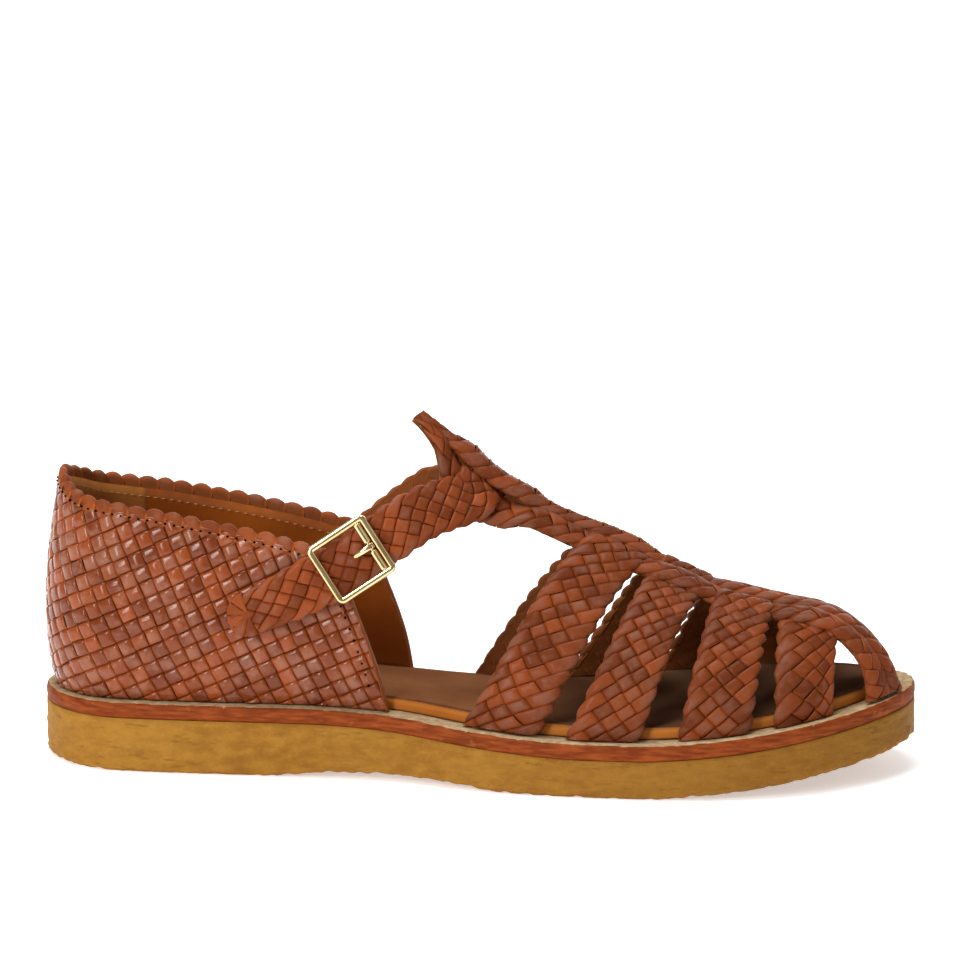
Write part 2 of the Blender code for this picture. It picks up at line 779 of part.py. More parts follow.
class AnklePath:
    """Centre line of the ankle strap with its outward directions."""

    def __init__(self, wall, last):
        over = QUARTER_WALL / 2 + QUARTER_RELIEF + CLEARANCE + BRAID_THICKNESS / 2
        rows = []
        for along, height in ANKLE_OUTER:
            rows.append(self.on_wall(wall, -1, along, height, over))
        slope = last.outward(ANKLE_SECTION, 0.0)
        rows += [self.on_bridge(row, slope) for row in OUTER_BRIDGE]
        depth = BRAID_THICKNESS + 2 * BRAID_RELIEF + CLEARANCE - SLIT_OFFSET
        for distance, order in ANKLE_SLIT:
            across = last.across_at(ANKLE_SECTION, distance * LANE_PITCH)
            outward = last.outward(ANKLE_SECTION, across)
            rows.append((last.point(ANKLE_SECTION, across) + outward * order * depth, outward))
        rows += [self.on_bridge(row, slope) for row in INNER_BRIDGE]
        for along, height in ANKLE_INNER:
            rows.append(self.on_wall(wall, 1, along, height, over))
        table = np.array([[*point, *outward] for point, outward in rows])
        self.fine = np.array(
            [spline(table, k / 12) for k in range(12 * (len(table) - 1) + 1)]
        )
        self.lengths = lengths_along(self.fine[:, :3])
        slit_row = len(ANKLE_OUTER) + len(OUTER_BRIDGE) + len(ANKLE_SLIT) // 2
        self.slit = self.lengths[12 * slit_row]

    @staticmethod
    def on_wall(wall, side, along, height, over):
        point, outward = wall.frame(side, along * QUARTER_LENGTH, height * QUARTER_HEIGHT)
        return point + outward * over, outward

    @staticmethod
    def on_bridge(row, slope):
        along, across, height, roll = row
        point = np.array(
            [(along - 0.5) * SOLE_LENGTH, across * BALL_WIDTH, height * TONGUE_HEIGHT]
        )
        turn = math.radians(roll)
        return point, unit(slope * math.cos(turn) + np.array([0.0, math.sin(turn), 0.0]))

    def length(self):
        return self.lengths[-1]

    def frame(self, distance):
        """Middle point, direction along, direction across and outward direction."""
        row = np.array([np.interp(distance, self.lengths, column) for column in self.fine.T])
        step = 1.5 * MM
        ends = np.clip([distance - step, distance + step], 0.0, self.length())
        low, high = (
            np.array([np.interp(end, self.lengths, column) for column in self.fine.T[:3]])
            for end in ends
        )
        along = unit(high - low)
        outward = unit(row[3:])
        return row[:3], along, unit(np.cross(outward, along)), outward


def make_ankle_strap(path):
    finish = material("ankle_strap_leather", (0.30, 0.09, 0.04), 0.5)
    length = path.length()
    tip = ANKLE_TIP_LENGTH

    def place(t, e):
        point, along, across, outward = path.frame(t * length)
        return point + across * e, outward

    def width(t):
        share = min(t * length / tip, 1.0)
        taper = smooth((t * length - tip) / ANKLE_TAPER_LENGTH)
        tapered = ANKLE_TIP_WIDTH + (1 - ANKLE_TIP_WIDTH) * taper
        pinched = 1 - SLIT_PINCH * smooth(1 - abs(t * length - path.slit) / (2 * LANE_PITCH))
        return ANKLE_STRAP_WIDTH * tapered * pinched * max(math.sqrt(1 - (1 - share) ** 2), 0.35)

    steps = round(length / BRAID_STEP)
    braid_solid("ankle_strap", place, steps, 6, width, finish)


def swept_ring(name, points, outwards, radius, sides, finish):
    """A closed wire round the points."""
    bm = bmesh.new()
    count = len(points)
    rings = []
    for k in range(count):
        along = unit(points[(k + 1) % count] - points[k - 1])
        across = unit(np.cross(outwards[k], along))
        up = np.cross(along, across)
        ring = []
        for s in range(sides):
            turn = 2 * math.pi * (s + 0.5) / sides
            ring.append(
                bm.verts.new(points[k] + (across * math.cos(turn) + up * math.sin(turn)) * radius)
            )
        rings.append(ring)
    for k in range(count):
        here, after = rings[k], rings[(k + 1) % count]
        for s in range(sides):
            bm.faces.new((here[s], here[(s + 1) % sides], after[(s + 1) % sides], after[s]))
    return object_from(bm, name, finish)


class BuckleFrame:
    """The buckle's own plane over the ankle strap: along it, across it and out of it."""

    def __init__(self, path):
        at = BUCKLE_PLACE * path.length()
        half = BUCKLE_LENGTH / 2
        back, _, _, _ = path.frame(at - half)
        front, _, _, _ = path.frame(at + half)
        _, _, _, outward = path.frame(at)
        self.along = unit(front - back)
        self.outward = unit(outward - self.along * (outward @ self.along))
        self.across = np.cross(self.outward, self.along)
        middle = (front + back) / 2
        heights = []
        for step in np.linspace(-half, half, 13):
            point, _, across, _ = path.frame(at + step)
            for e in (-ANKLE_STRAP_WIDTH / 2, 0.0, ANKLE_STRAP_WIDTH / 2):
                heights.append((point + across * e - middle) @ self.outward)
        lift = BRAID_THICKNESS / 2 + BRAID_RELIEF + CLEARANCE + WIRE_DIAMETER / 2
        self.origin = middle + self.outward * (max(heights) + lift)

    def place(self, along, across, out=0.0):
        return self.origin + self.along * along + self.across * across + self.outward * out


def make_buckle(path):
    brass = material("polished_brass", (0.80, 0.62, 0.30), 0.15, 1.0)
    frame = BuckleFrame(path)
    half_length = (BUCKLE_LENGTH - WIRE_DIAMETER) / 2
    half_width = (BUCKLE_WIDTH - WIRE_DIAMETER) / 2
    corner = BUCKLE_CORNER
    points = []
    for quadrant, (x, y) in enumerate(((1, 1), (-1, 1), (-1, -1), (1, -1))):
        for k in range(4):
            turn = math.radians(90 * quadrant + 30 * k)
            points.append(
                frame.place(
                    x * (half_length - corner) + corner * math.cos(turn),
                    y * (half_width - corner) + corner * math.sin(turn),
                )
            )
    outwards = [frame.outward] * len(points)
    swept_ring("buckle_frame", points, outwards, WIRE_DIAMETER / 2, 6, brass)

    axis = half_length - ROLLER_SETBACK
    reach = half_width - WIRE_DIAMETER / 2 - CLEARANCE
    waist = PRONG_WIDTH / 2 + 2 * CLEARANCE
    radius = ROLLER_DIAMETER / 2
    core = 0.45 * radius
    profile = (
        (-reach, radius),
        (-waist, radius),
        (-waist, core),
        (waist, core),
        (waist, radius),
        (reach, radius),
    )
    bm = bmesh.new()
    rings = []
    sides = 10
    for across, size in profile:
        ring = []
        for s in range(sides):
            turn = 2 * math.pi * s / sides
            place = frame.place(axis + size * math.cos(turn), across, size * math.sin(turn))
            ring.append(bm.verts.new(place))
        rings.append(ring)
    for here, after in zip(rings, rings[1:]):
        for s in range(sides):
            bm.faces.new((here[s], here[(s + 1) % sides], after[(s + 1) % sides], after[s]))
    bm.faces.new(rings[0])
    bm.faces.new(rings[-1])
    object_from(bm, "buckle_roller", brass)

    # The prong: a loop round the roller's waist and a blade that runs out from it.
    inner = core + CLEARANCE * 0.7
    outer = inner + PRONG_LOOP
    end = axis - PRONG_LENGTH
    dip = PRONG_BLADE - WIRE_DIAMETER / 2
    outline = [(axis + outer * math.cos(math.radians(a)), outer * math.sin(math.radians(a)))
               for a in range(-120, 121, 30)]
    outline += [(axis - PRONG_HEEL, outer * 0.8), (end, dip + PRONG_TIP), (end - CLEARANCE, dip)]
    outline += [(axis - PRONG_HEEL, outer * 0.8 - PRONG_BLADE)]
    hole = [(axis + inner * math.cos(math.radians(a)), inner * math.sin(math.radians(a)))
            for a in range(0, 360, 45)]
    prong = plate(frame, "buckle_prong", outline, PRONG_WIDTH, brass)
    bore = cutter(plate(frame, "prong_bore", hole, 2 * PRONG_WIDTH, None))
    cut = prong.modifiers.new("bore", "BOOLEAN")
    cut.operation = "DIFFERENCE"
    cut.solver = "EXACT"
    cut.object = bore


def plate(frame, name, outline, width, finish):
    """An outline in the plane along and out of the buckle, given a width across it."""
    bm = bmesh.new()
    sides = []
    for across in (-width / 2, width / 2):
        ring = [bm.verts.new(frame.place(x, across, z)) for x, z in outline]
        bm.faces.new(ring)
        sides.append(ring)
    count = len(outline)
    for k in range(count):
        after = (k + 1) % count
        bm.faces.new((sides[0][k], sides[0][after], sides[1][after], sides[1][k]))
    bmesh.ops.triangulate(bm, faces=bm.faces)
    return object_from(bm, name, finish)


def clear_scene():
    for item in list(bpy.data.objects):
        bpy.data.objects.remove(item, do_unlink=True)


def centre_on_origin():
    """Moves all pieces from the last's middle line to the middle of the sole's own box."""
    plan = sole_plan()
    middle = (plan.min(axis=0) + plan.max(axis=0)) / 2
    shift = Matrix.Translation((-middle[0], -middle[1], 0.0))
    for made in bpy.data.objects:
        made.data.transform(shift)


def main():
    clear_scene()
    make_outsole()
    make_midsole()
    make_insole()
    wall = HeelWall()
    make_quarter(wall)
    last = Last()
    make_vamp(last)
    path = AnklePath(wall, last)
    make_ankle_strap(path)
    make_buckle(path)
    centre_on_origin()


main()
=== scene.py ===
"""Woven fisherman sandal for the right foot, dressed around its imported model.

Metres, +Z up, +X to the toe, -Y to the outer side, where the buckle is.
"""

import math
import random
import bmesh
import bpy
import numpy as np
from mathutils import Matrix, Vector, noise


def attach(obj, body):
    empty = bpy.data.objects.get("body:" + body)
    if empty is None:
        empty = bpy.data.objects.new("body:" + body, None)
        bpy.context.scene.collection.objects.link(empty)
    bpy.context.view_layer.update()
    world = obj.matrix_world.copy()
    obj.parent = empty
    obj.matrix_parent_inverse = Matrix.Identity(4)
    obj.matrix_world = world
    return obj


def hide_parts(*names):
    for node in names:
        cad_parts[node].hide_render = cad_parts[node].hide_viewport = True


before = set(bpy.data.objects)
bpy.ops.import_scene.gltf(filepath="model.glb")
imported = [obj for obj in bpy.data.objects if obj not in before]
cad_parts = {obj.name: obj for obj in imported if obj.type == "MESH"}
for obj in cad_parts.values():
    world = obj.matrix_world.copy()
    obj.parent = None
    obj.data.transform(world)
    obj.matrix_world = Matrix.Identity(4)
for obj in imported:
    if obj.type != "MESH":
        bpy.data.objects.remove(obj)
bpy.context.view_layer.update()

# Crepe sole
# The real one is a thick wedge of natural crepe rubber, honey coloured and slightly see-through.
# It is cut from a milled sheet, so its side shows broken layers and its lower edge crumbles.
MM = 0.001
SOLE_LENGTH = 262 * MM
BALL_WIDTH = 98.3 * MM
HEEL_WIDTH = 63.4 * MM
HEEL_CREPE = 16.6 * MM
FOREFOOT_CREPE = 11.6 * MM
TOE_SPRING = 9.5 * MM
ARCH_LIFT = 1.8 * MM
SOLE_CUTS = 40
# along: share of the sole length from the heel. across: share of the width there.
SOLE_OUTLINE = (
    (0.000, 0.000), (0.022, -0.270), (0.075, -0.455), (0.160, -0.500), (0.300, -0.508),
    (0.410, -0.480), (0.500, -0.512), (0.590, -0.505), (0.700, -0.485), (0.800, -0.458),
    (0.880, -0.375), (0.945, -0.240), (0.988, -0.080), (1.000, 0.080), (0.982, 0.230),
    (0.930, 0.388), (0.840, 0.500), (0.740, 0.515), (0.640, 0.435), (0.560, 0.355),
    (0.450, 0.360), (0.320, 0.455), (0.160, 0.500), (0.075, 0.455), (0.022, 0.270),
)


def smooth(value):
    value = np.clip(value, 0.0, 1.0)
    return value * value * (3 - 2 * value)


def spline(rows, place):
    """A smooth curve through the rows, read at a place counted in rows."""
    rows = np.asarray(rows, float)
    low = int(min(max(math.floor(place), 0), len(rows) - 2))
    t = place - low
    before = rows[low - 1] if low > 0 else 2 * rows[0] - rows[1]
    after = rows[low + 2] if low + 2 < len(rows) else 2 * rows[-1] - rows[-2]
    start, end = rows[low], rows[low + 1]
    return (
        (2 * t**3 - 3 * t**2 + 1) * start
        + (t**3 - 2 * t**2 + t) * (end - before) / 2
        + (3 * t**2 - 2 * t**3) * end
        + (t**3 - t**2) * (after - start) / 2
    )


def along_share(x):
    return x / SOLE_LENGTH + 0.5


def sole_plan(steps):
    """Points of the sole's outline, from the heel round by the outer side."""
    rows = []
    for along, across in SOLE_OUTLINE:
        width = HEEL_WIDTH + (BALL_WIDTH - HEEL_WIDTH) * smooth((along - 0.30) / 0.40)
        rows.append(((along - 0.5) * SOLE_LENGTH, across * width))
    closed = rows[-2:] + rows + rows[:3]
    return np.array([spline(closed, 2 + k / steps) for k in range(len(rows) * steps)])


def toe_spring(x):
    return TOE_SPRING * max((along_share(x) - 0.70) / 0.30, 0.0) ** 1.5


def sole_bottom(x):
    share = along_share(x)
    arch = ARCH_LIFT * smooth((share - 0.26) / 0.10) * smooth((0.56 - share) / 0.10)
    return toe_spring(x) + arch


def crepe_top(x):
    drop = smooth((along_share(x) - 0.30) / 0.35)
    return toe_spring(x) + HEEL_CREPE + (FOREFOOT_CREPE - HEEL_CREPE) * drop


rough_plan = sole_plan(2)
plan_middle = (rough_plan.min(axis=0) + rough_plan.max(axis=0)) / 2


def scene_object(name, data):
    made = bpy.data.objects.new(name, data)
    bpy.context.scene.collection.objects.link(made)
    return made


def mesh_object(bm, name, finish):
    mesh = bpy.data.meshes.new(name)
    bm.to_mesh(mesh)
    bm.free()
    mesh.materials.append(finish.material)
    mesh.shade_smooth()
    return scene_object(name, mesh)


def piece_from(bm, name, finish):
    """A finished piece, moved from the last's middle line to the middle of the sole's box."""
    bmesh.ops.translate(bm, verts=bm.verts, vec=(-plan_middle[0], -plan_middle[1], 0.0))
    return mesh_object(bm, name, finish)


def sole_slab(plan, levels, rings):
    """A closed slab of unit height over a plan: levels up its side, rings round its faces."""
    bm = bmesh.new()
    bmesh.ops.create_circle(bm, cap_ends=True, segments=len(plan), radius=1.0)
    for vert, (x, y) in zip(bm.verts, plan):
        vert.co = (x, y, 0.0)
    raised = bmesh.ops.extrude_face_region(bm, geom=bm.faces[:])
    top = [item for item in raised["geom"] if isinstance(item, bmesh.types.BMVert)]
    bmesh.ops.translate(bm, verts=top, vec=(0.0, 0.0, 1.0))
    upright = [e for e in bm.edges if abs(e.verts[0].co.z - e.verts[1].co.z) > 0.5]
    bmesh.ops.subdivide_edges(bm, edges=upright, cuts=levels - 1, use_grid_fill=True)
    for depth in rings:
        caps = [f for f in bm.faces if len(f.verts) == len(plan)]
        bmesh.ops.inset_region(bm, faces=caps, thickness=depth, use_even_offset=True)
    for k in range(1, SOLE_CUTS):
        x = (k / SOLE_CUTS - 0.5) * SOLE_LENGTH
        caps = [f for f in bm.faces if len(f.verts) > 4]
        around = list(dict.fromkeys(item for f in caps for item in (f, *f.edges, *f.verts)))
        bmesh.ops.bisect_plane(bm, geom=around, dist=1e-6, plane_co=(x, 0, 0), plane_no=(1, 0, 0))
    bmesh.ops.recalc_face_normals(bm, faces=bm.faces)
    bm.normal_update()
    return bm


def ways_out(plan):
    """The level way out at each point of a closed plan."""
    along = np.roll(plan, -1, axis=0) - np.roll(plan, 1, axis=0)
    along /= np.linalg.norm(along, axis=1)[:, None]
    return np.stack([along[:, 1], -along[:, 0]], axis=1)


def outwards_in_plan(bm, plan):
    """For each vertex, how far it lies inside the plan and the way out."""
    outward = ways_out(plan)
    found = {}
    for vert in bm.verts:
        gaps = plan - np.array(vert.co.xy)
        nearest = int(np.argmin((gaps**2).sum(axis=1)))
        found[vert] = (float(np.linalg.norm(gaps[nearest])), outward[nearest])
    return found


class Tone:
    """A shader socket, so that the maths of a finish reads as an expression."""

    def __init__(self, finish, socket):
        self.finish = finish
        self.socket = socket

    def maths(self, operation, first, second=0.0):
        settings = {"operation": operation}
        return self.finish.add("ShaderNodeMath", settings, {0: first, 1: second})

    def __add__(self, other):
        return self.maths("ADD", self, other)

    def __sub__(self, other):
        return self.maths("SUBTRACT", self, other)

    def __rsub__(self, other):
        return self.maths("SUBTRACT", other, self)

    def __mul__(self, other):
        return self.maths("MULTIPLY", self, other)

    def __abs__(self):
        return self.maths("ABSOLUTE", self)

    __radd__ = __add__
    __rmul__ = __mul__


class Finish:
    """One material of the sandal."""

    def __init__(self, name):
        self.material = bpy.data.materials.new(name)
        self.material.use_nodes = True
        self.tree = self.material.node_tree
        self.shader = self.tree.nodes["Principled BSDF"]

    def feed(self, node, sockets):
        for key, value in sockets.items():
            if isinstance(value, Tone):
                self.tree.links.new(value.socket, node.inputs[key])
            else:
                node.inputs[key].default_value = value

    def add(self, kind, settings=None, sockets=None, output=0):
        node = self.tree.nodes.new(kind)
        for key, value in (settings or {}).items():
            setattr(node, key, value)
        self.feed(node, sockets or {})
        return Tone(self, node.outputs[output])

    def shade(self, sockets):
        self.feed(self.shader, sockets)

    def speckle(self, scale, stretch=(1.0, 1.0, 1.0), detail=3.0, rough=0.55):
        spot = self.add("ShaderNodeTexCoord", output=3)
        spot = self.add("ShaderNodeMapping", sockets={"Vector": spot, "Scale": stretch})
        sockets = {"Vector": spot, "Scale": scale, "Detail": detail, "Roughness": rough}
        return self.add("ShaderNodeTexNoise", sockets=sockets)

    def step(self, value, low, high):
        settings = {"interpolation_type": "SMOOTHSTEP"}
        return self.add("ShaderNodeMapRange", settings, {0: value, 1: low, 2: high})

    def attribute(self, name):
        return self.add("ShaderNodeAttribute", {"attribute_name": name}, output=2)

    def blend(self, share, first, second):
        first = first if isinstance(first, Tone) else (*first, 1.0)
        second = second if isinstance(second, Tone) else (*second, 1.0)
        sockets = {0: share, 6: first, 7: second}
        return self.add("ShaderNodeMix", {"data_type": "RGBA"}, sockets, output=2)

    def mottled(self, pattern, dark, light, low=0.30, high=0.70):
        """Two tones that run into each other after a pattern."""
        return self.blend(self.step(pattern, low, high), dark, light)

    def bump(self, height, strength, distance):
        sockets = {"Height": height, "Strength": strength, "Distance": distance}
        return self.add("ShaderNodeBump", sockets=sockets)


crepe = Finish("natural_crepe")
layers = crepe.speckle(170, stretch=(1, 1, 2.2), detail=6, rough=0.7)
crumbs = crepe.speckle(620, detail=3, rough=0.7)
patches = crepe.speckle(22, detail=2)
streaks = crepe.step(crepe.speckle(130, stretch=(1, 1, 5), detail=5), 0.58, 0.68)
streaks = streaks * crepe.step(patches, 0.40, 0.60)
honey = crepe.mottled(layers, (0.262, 0.108, 0.014), (0.385, 0.180, 0.025), high=0.72)
honey = crepe.blend(crepe.step(patches, 0.35, 0.75) * 0.45, honey, (0.420, 0.210, 0.031))
honey = crepe.blend(streaks * 0.45, honey, (0.175, 0.064, 0.010))
honey = crepe.blend(crepe.step(crumbs, 0.58, 0.72) * 0.40, honey, (0.450, 0.240, 0.055))
# The crepe grows darker towards the toe.
honey = crepe.blend(crepe.attribute("toe_darkening") * 0.38, honey, (0.150, 0.052, 0.007))
crepe.shade({
    "Base Color": honey,
    "Roughness": 0.62,
    "Subsurface Weight": 0.12,
    "Subsurface Radius": (1.0, 0.5, 0.15),
    "Subsurface Scale": 0.004,
    "Specular IOR Level": 0.08,
    "Normal": crepe.bump(crumbs * 0.5 + layers + (1 - streaks) * 0.35, 0.70, 0.0006),
})

SIDE_STEPS = 26
AT_EDGE = 0.2 * MM
CREPE_ROUND = 1.8 * MM
CREPE_RIPPLE = 0.32 * MM
CREPE_NUB = 0.55 * MM
CREPE_CRUMBLE = 0.75 * MM
SINK = 0.3 * MM
plan = sole_plan(SIDE_STEPS)
bm = sole_slab(plan, 12, (1.6 * MM, 3 * MM))
toe_darkening_layer = bm.verts.layers.float.new("toe_darkening")
spots = outwards_in_plan(bm, plan)
for vert in bm.verts:
    share = vert.co.z
    inside, outward = spots[vert]
    x, y = vert.co.xy
    vert[toe_darkening_layer] = smooth(0.4 + x / (180 * MM))
    low = sole_bottom(x)
    high = crepe_top(x) - SINK
    height = share * (high - low)
    if inside < AT_EDGE:
        corner = max(1 - height / CREPE_ROUND, 0.0)
        tuck = CREPE_ROUND * (1 - math.sqrt(1 - corner**2)) * 0.8
        ripple = noise.noise(Vector((x * 90, y * 90, height * 900))) * CREPE_RIPPLE
        nub = noise.noise(Vector((x * 420, y * 420, height * 420))) * CREPE_NUB
        nub *= smooth(1 - height / (5 * MM)) + 0.12
        push = ripple * smooth((1 - share) * 5) - tuck + nub
        x += outward[0] * push
        y += outward[1] * push
    crumble = 0.0
    if share < 0.5:
        crumble = noise.noise(Vector((x * 330, y * 330, 5.0))) * CREPE_CRUMBLE
        crumble = max(crumble, -0.2 * CREPE_CRUMBLE) * smooth(1 - share * 3)
    vert.co = (x, y, max(low + height + crumble, 0.0))
outsole = piece_from(bm, "crepe_sole", crepe)
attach(outsole, "root")
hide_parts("outsole")

# Midsole
# A firm layer of rust leather between the crepe and the upper, cut to the same outline.
# Its side is stained and burnished, and its upper face is raw and cream where the ledge shows.
MIDSOLE_THICKNESS = 4.4 * MM
MIDSOLE_BELLY = 0.35 * MM
MIDSOLE_TRIM = 0.25 * MM


def midsole_top(x):
    return crepe_top(x) + MIDSOLE_THICKNESS


midsole_leather = Finish("rust_leather_edge")
raw = midsole_leather.attribute("raw")
fray = midsole_leather.speckle(420, detail=4, rough=0.7)
fibres = midsole_leather.speckle(150, stretch=(1, 1, 7), detail=4)
raw = midsole_leather.step(raw + (fray - 0.5) * 0.75, 0.42, 0.58)
rust = midsole_leather.mottled(fibres, (0.160, 0.029, 0.006), (0.305, 0.064, 0.013), high=0.72)
scuffs = midsole_leather.step(midsole_leather.speckle(260, detail=2), 0.62, 0.74)
rust = midsole_leather.blend(scuffs * 0.35, rust, (0.390, 0.118, 0.032))
cream = midsole_leather.mottled(fray, (0.330, 0.210, 0.100), (0.560, 0.415, 0.240))
midsole_leather.shade({
    "Base Color": midsole_leather.blend(raw, rust, cream),
    "Roughness": midsole_leather.step(raw, 0.0, 1.0) * 0.35 + 0.55,
    "Specular IOR Level": 0.06,
    "Normal": midsole_leather.bump(fibres * 0.6 + fray * 0.5, 0.6, 0.0004),
})

bm = sole_slab(plan, 5, (1.2 * MM, 5 * MM))
raw_layer = bm.verts.layers.float.new("raw")
spots = outwards_in_plan(bm, plan)
for vert in bm.verts:
    share = vert.co.z
    inside, outward = spots[vert]
    x, y = vert.co.xy
    rough = noise.noise(Vector((x * 260, y * 260, share * 3)))
    lip = 0.0
    if inside < AT_EDGE:
        push = MIDSOLE_BELLY * math.sin(math.pi * share) + rough * 0.12 * MM - MIDSOLE_TRIM
        if share > 0.99:
            push -= MIDSOLE_TRIM
        x += outward[0] * push
        y += outward[1] * push
    if share > 0.99:
        lip = rough * 0.22 * MM - 0.1 * MM
        vert[raw_layer] = 0.40 if inside < AT_EDGE else 1.0
    elif share > 0.7:
        vert[raw_layer] = 0.22
    low, high = crepe_top(vert.co.x) - MIDSOLE_TRIM, midsole_top(vert.co.x)
    vert.co = (x, y, low + share * (high - low) + lip)
midsole = piece_from(bm, "leather_midsole", midsole_leather)
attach(midsole, "root")
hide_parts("midsole")

# Insole
# A padded footbed of smooth brown leather, satin on top, with a rounded tan edge.
# It is dropped inside the upper, so its edge shows between the straps.
BRAID_THICKNESS = 2.6 * MM
INSOLE_THICKNESS = 3.4 * MM
INSOLE_GAP = 1.3 * MM
INSOLE_ROUND = 1.5 * MM
SIDE_LEDGE = 4.6 * MM
HEEL_LEDGE = 2.7 * MM
CLEARANCE = 0.3 * MM


def inset_plan(extra, steps):
    """The line a distance inside the edge of the upper, which stands on the sole's ledge."""
    points = sole_plan(steps)
    ledge = HEEL_LEDGE + (SIDE_LEDGE - HEEL_LEDGE) * smooth(along_share(points[:, 0]) / 0.10)
    return points - ways_out(points) * (ledge + extra)[:, None]


footbed = Finish("satin_footbed_leather")
side = footbed.step(footbed.attribute("side"), 0.25, 0.75)
cloud = footbed.speckle(26, detail=4)
grain = footbed.speckle(900, detail=2)
top_brown = footbed.mottled(cloud, (0.195, 0.075, 0.030), (0.280, 0.118, 0.052))
tan_side = footbed.mottled(cloud, (0.380, 0.115, 0.018), (0.500, 0.175, 0.034))
# Painted shade: the footbed darkens towards the toe, under the straps.
toe_shade_share = footbed.attribute("toe_strap_shade") * 0.72
top_brown = footbed.blend(toe_shade_share, top_brown, (0.050, 0.030, 0.020))
footbed.shade({
    "Base Color": footbed.blend(side, top_brown, tan_side),
    "Roughness": cloud * 0.16 + 0.42,
    "Specular IOR Level": 0.0,
    "Normal": footbed.bump(grain, 0.25, 0.0002),
})

insole_plan = inset_plan(BRAID_THICKNESS + INSOLE_GAP, 10)
bm = sole_slab(insole_plan, 6, (1.2 * MM, 3 * MM))
side_layer = bm.verts.layers.float.new("side")
toe_strap_shade_layer = bm.verts.layers.float.new("toe_strap_shade")
spots = outwards_in_plan(bm, insole_plan)
for vert in bm.verts:
    share = vert.co.z
    inside, outward = spots[vert]
    x, y = vert.co.xy
    # How much painted shade falls here, rising towards the toe.
    vert[toe_strap_shade_layer] = smooth((x + 10 * MM) / (60 * MM))
    low, high = midsole_top(x) + CLEARANCE, midsole_top(x) + INSOLE_THICKNESS
    height = share * (high - low)
    if inside < 0.1 * MM:
        corner = max((share - 0.45) / 0.55, 0.0)
        tuck = INSOLE_ROUND * (1 - math.sqrt(max(1 - corner**2, 0.0)))
        x -= outward[0] * tuck
        y -= outward[1] * tuck
        vert[side_layer] = 1.0 if share < 0.8 else 0.6
    elif share > 0.99:
        height += 0.1 * MM * smooth(inside / (4 * MM))
    vert.co = (x, y, low + height)
insole = piece_from(bm, "leather_footbed", footbed)
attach(insole, "root")
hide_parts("insole")

# Heel quarter, the weave
# Glazed brown leather strips in a plain over-and-under weave that climbs towards the toe.
# The woven sheet is cut to shape, sewn up the back of the heel and lasted over the counter.
QUARTER_LENGTH = 118 * MM
QUARTER_HEIGHT = 63.5 * MM
INNER_REACH = 1.013
QUARTER_WALL = 2.4 * MM
COUNTER_BULGE = 3.9 * MM
HEEL_LEAN = 1.9 * MM
COLLAR_LEAN = 5.2 * MM
LOBE_PITCH = 5.6 * MM
WEAVE_STRIP = 4.5 * MM
WEAVE_SLOPE = math.radians(25)
WEAVE_RELIEF = 0.34 * MM
WEAVE_SHIFT = 0.12 * MM
WEAVE_ROWS, WEAVE_COLUMNS = range(-2, 34), range(-14, 18)
# Edge of one half of the quarter: shares of its length and of its height at the heel.
COLLAR_EDGE = (
    (0.000, 1.005), (0.090, 0.968), (0.195, 0.916),
    (0.416, 0.860), (0.673, 0.778), (0.850, 0.700),
)
FRONT_EDGE = (
    (0.850, 0.700), (0.893, 0.580), (0.925, 0.450),
    (0.955, 0.310), (0.980, 0.170), (1.000, 0.000),
)


def unit(vector):
    return vector / np.linalg.norm(vector)


def lengths_along(points):
    steps = np.linalg.norm(np.diff(points, axis=0), axis=1)
    return np.concatenate([[0.0], np.cumsum(steps)])


def read_line(mark, marks, points):
    """The points of a line at one mark or at many."""
    return np.stack([np.interp(mark, marks, column) for column in points.T], axis=-1)


def fine_curve(rows):
    return np.array([spline(rows, k / 12) for k in range(12 * (len(rows) - 1) + 1)])


class HeelWall:
    """The wall over the feather line: length along it from the heel, height up it."""

    def __init__(self):
        wall_plan = inset_plan(QUARTER_WALL / 2, 6)
        half = len(wall_plan) // 2
        outer = wall_plan[:half]
        inner = np.vstack([wall_plan[:1], wall_plan[:half:-1]])
        self.sides = {-1: (outer, lengths_along(outer)), 1: (inner, lengths_along(inner))}

    def foot(self, side, length):
        points, lengths = self.sides[side]
        return read_line(length, lengths, points)

    def outward(self, side, length):
        if length < 1e-9:
            return np.array([-1.0, 0.0])
        step = 2 * MM
        ahead = self.foot(side, length + step)
        behind = self.foot(side, length - step)
        if length < step:
            behind = self.foot(side, step - length) * np.array([1.0, -1.0])
        along = unit(ahead - behind)
        return np.array([along[1], -along[0]]) * -side

    def lean(self, length, height):
        t = height / QUARTER_HEIGHT
        back = 1 - smooth(length / (0.45 * QUARTER_LENGTH))
        inward = COLLAR_LEAN + (HEEL_LEAN - COLLAR_LEAN) * back
        rounded = max(math.sin(math.pi * min(max(t, 0.0), 1.0)), 0.0) ** 0.8
        return COUNTER_BULGE * rounded * (1 - 0.5 * t) - inward * t * t

    def frame(self, side, length, height):
        """Point on the wall's middle and its outward direction."""
        foot = self.foot(side, length)
        outward = self.outward(side, length)
        level = min(max(height, 0.0), QUARTER_HEIGHT)
        here = self.lean(length, level)
        rise = (self.lean(length, level + 0.5 * MM) - self.lean(length, level - 0.5 * MM)) / MM
        rise *= smooth(height / (6 * MM))
        plan_point = foot + outward * here
        z = midsole_top(foot[0]) + CLEARANCE + height
        return np.array([*plan_point, z]), unit(np.array([*outward, -rise]))


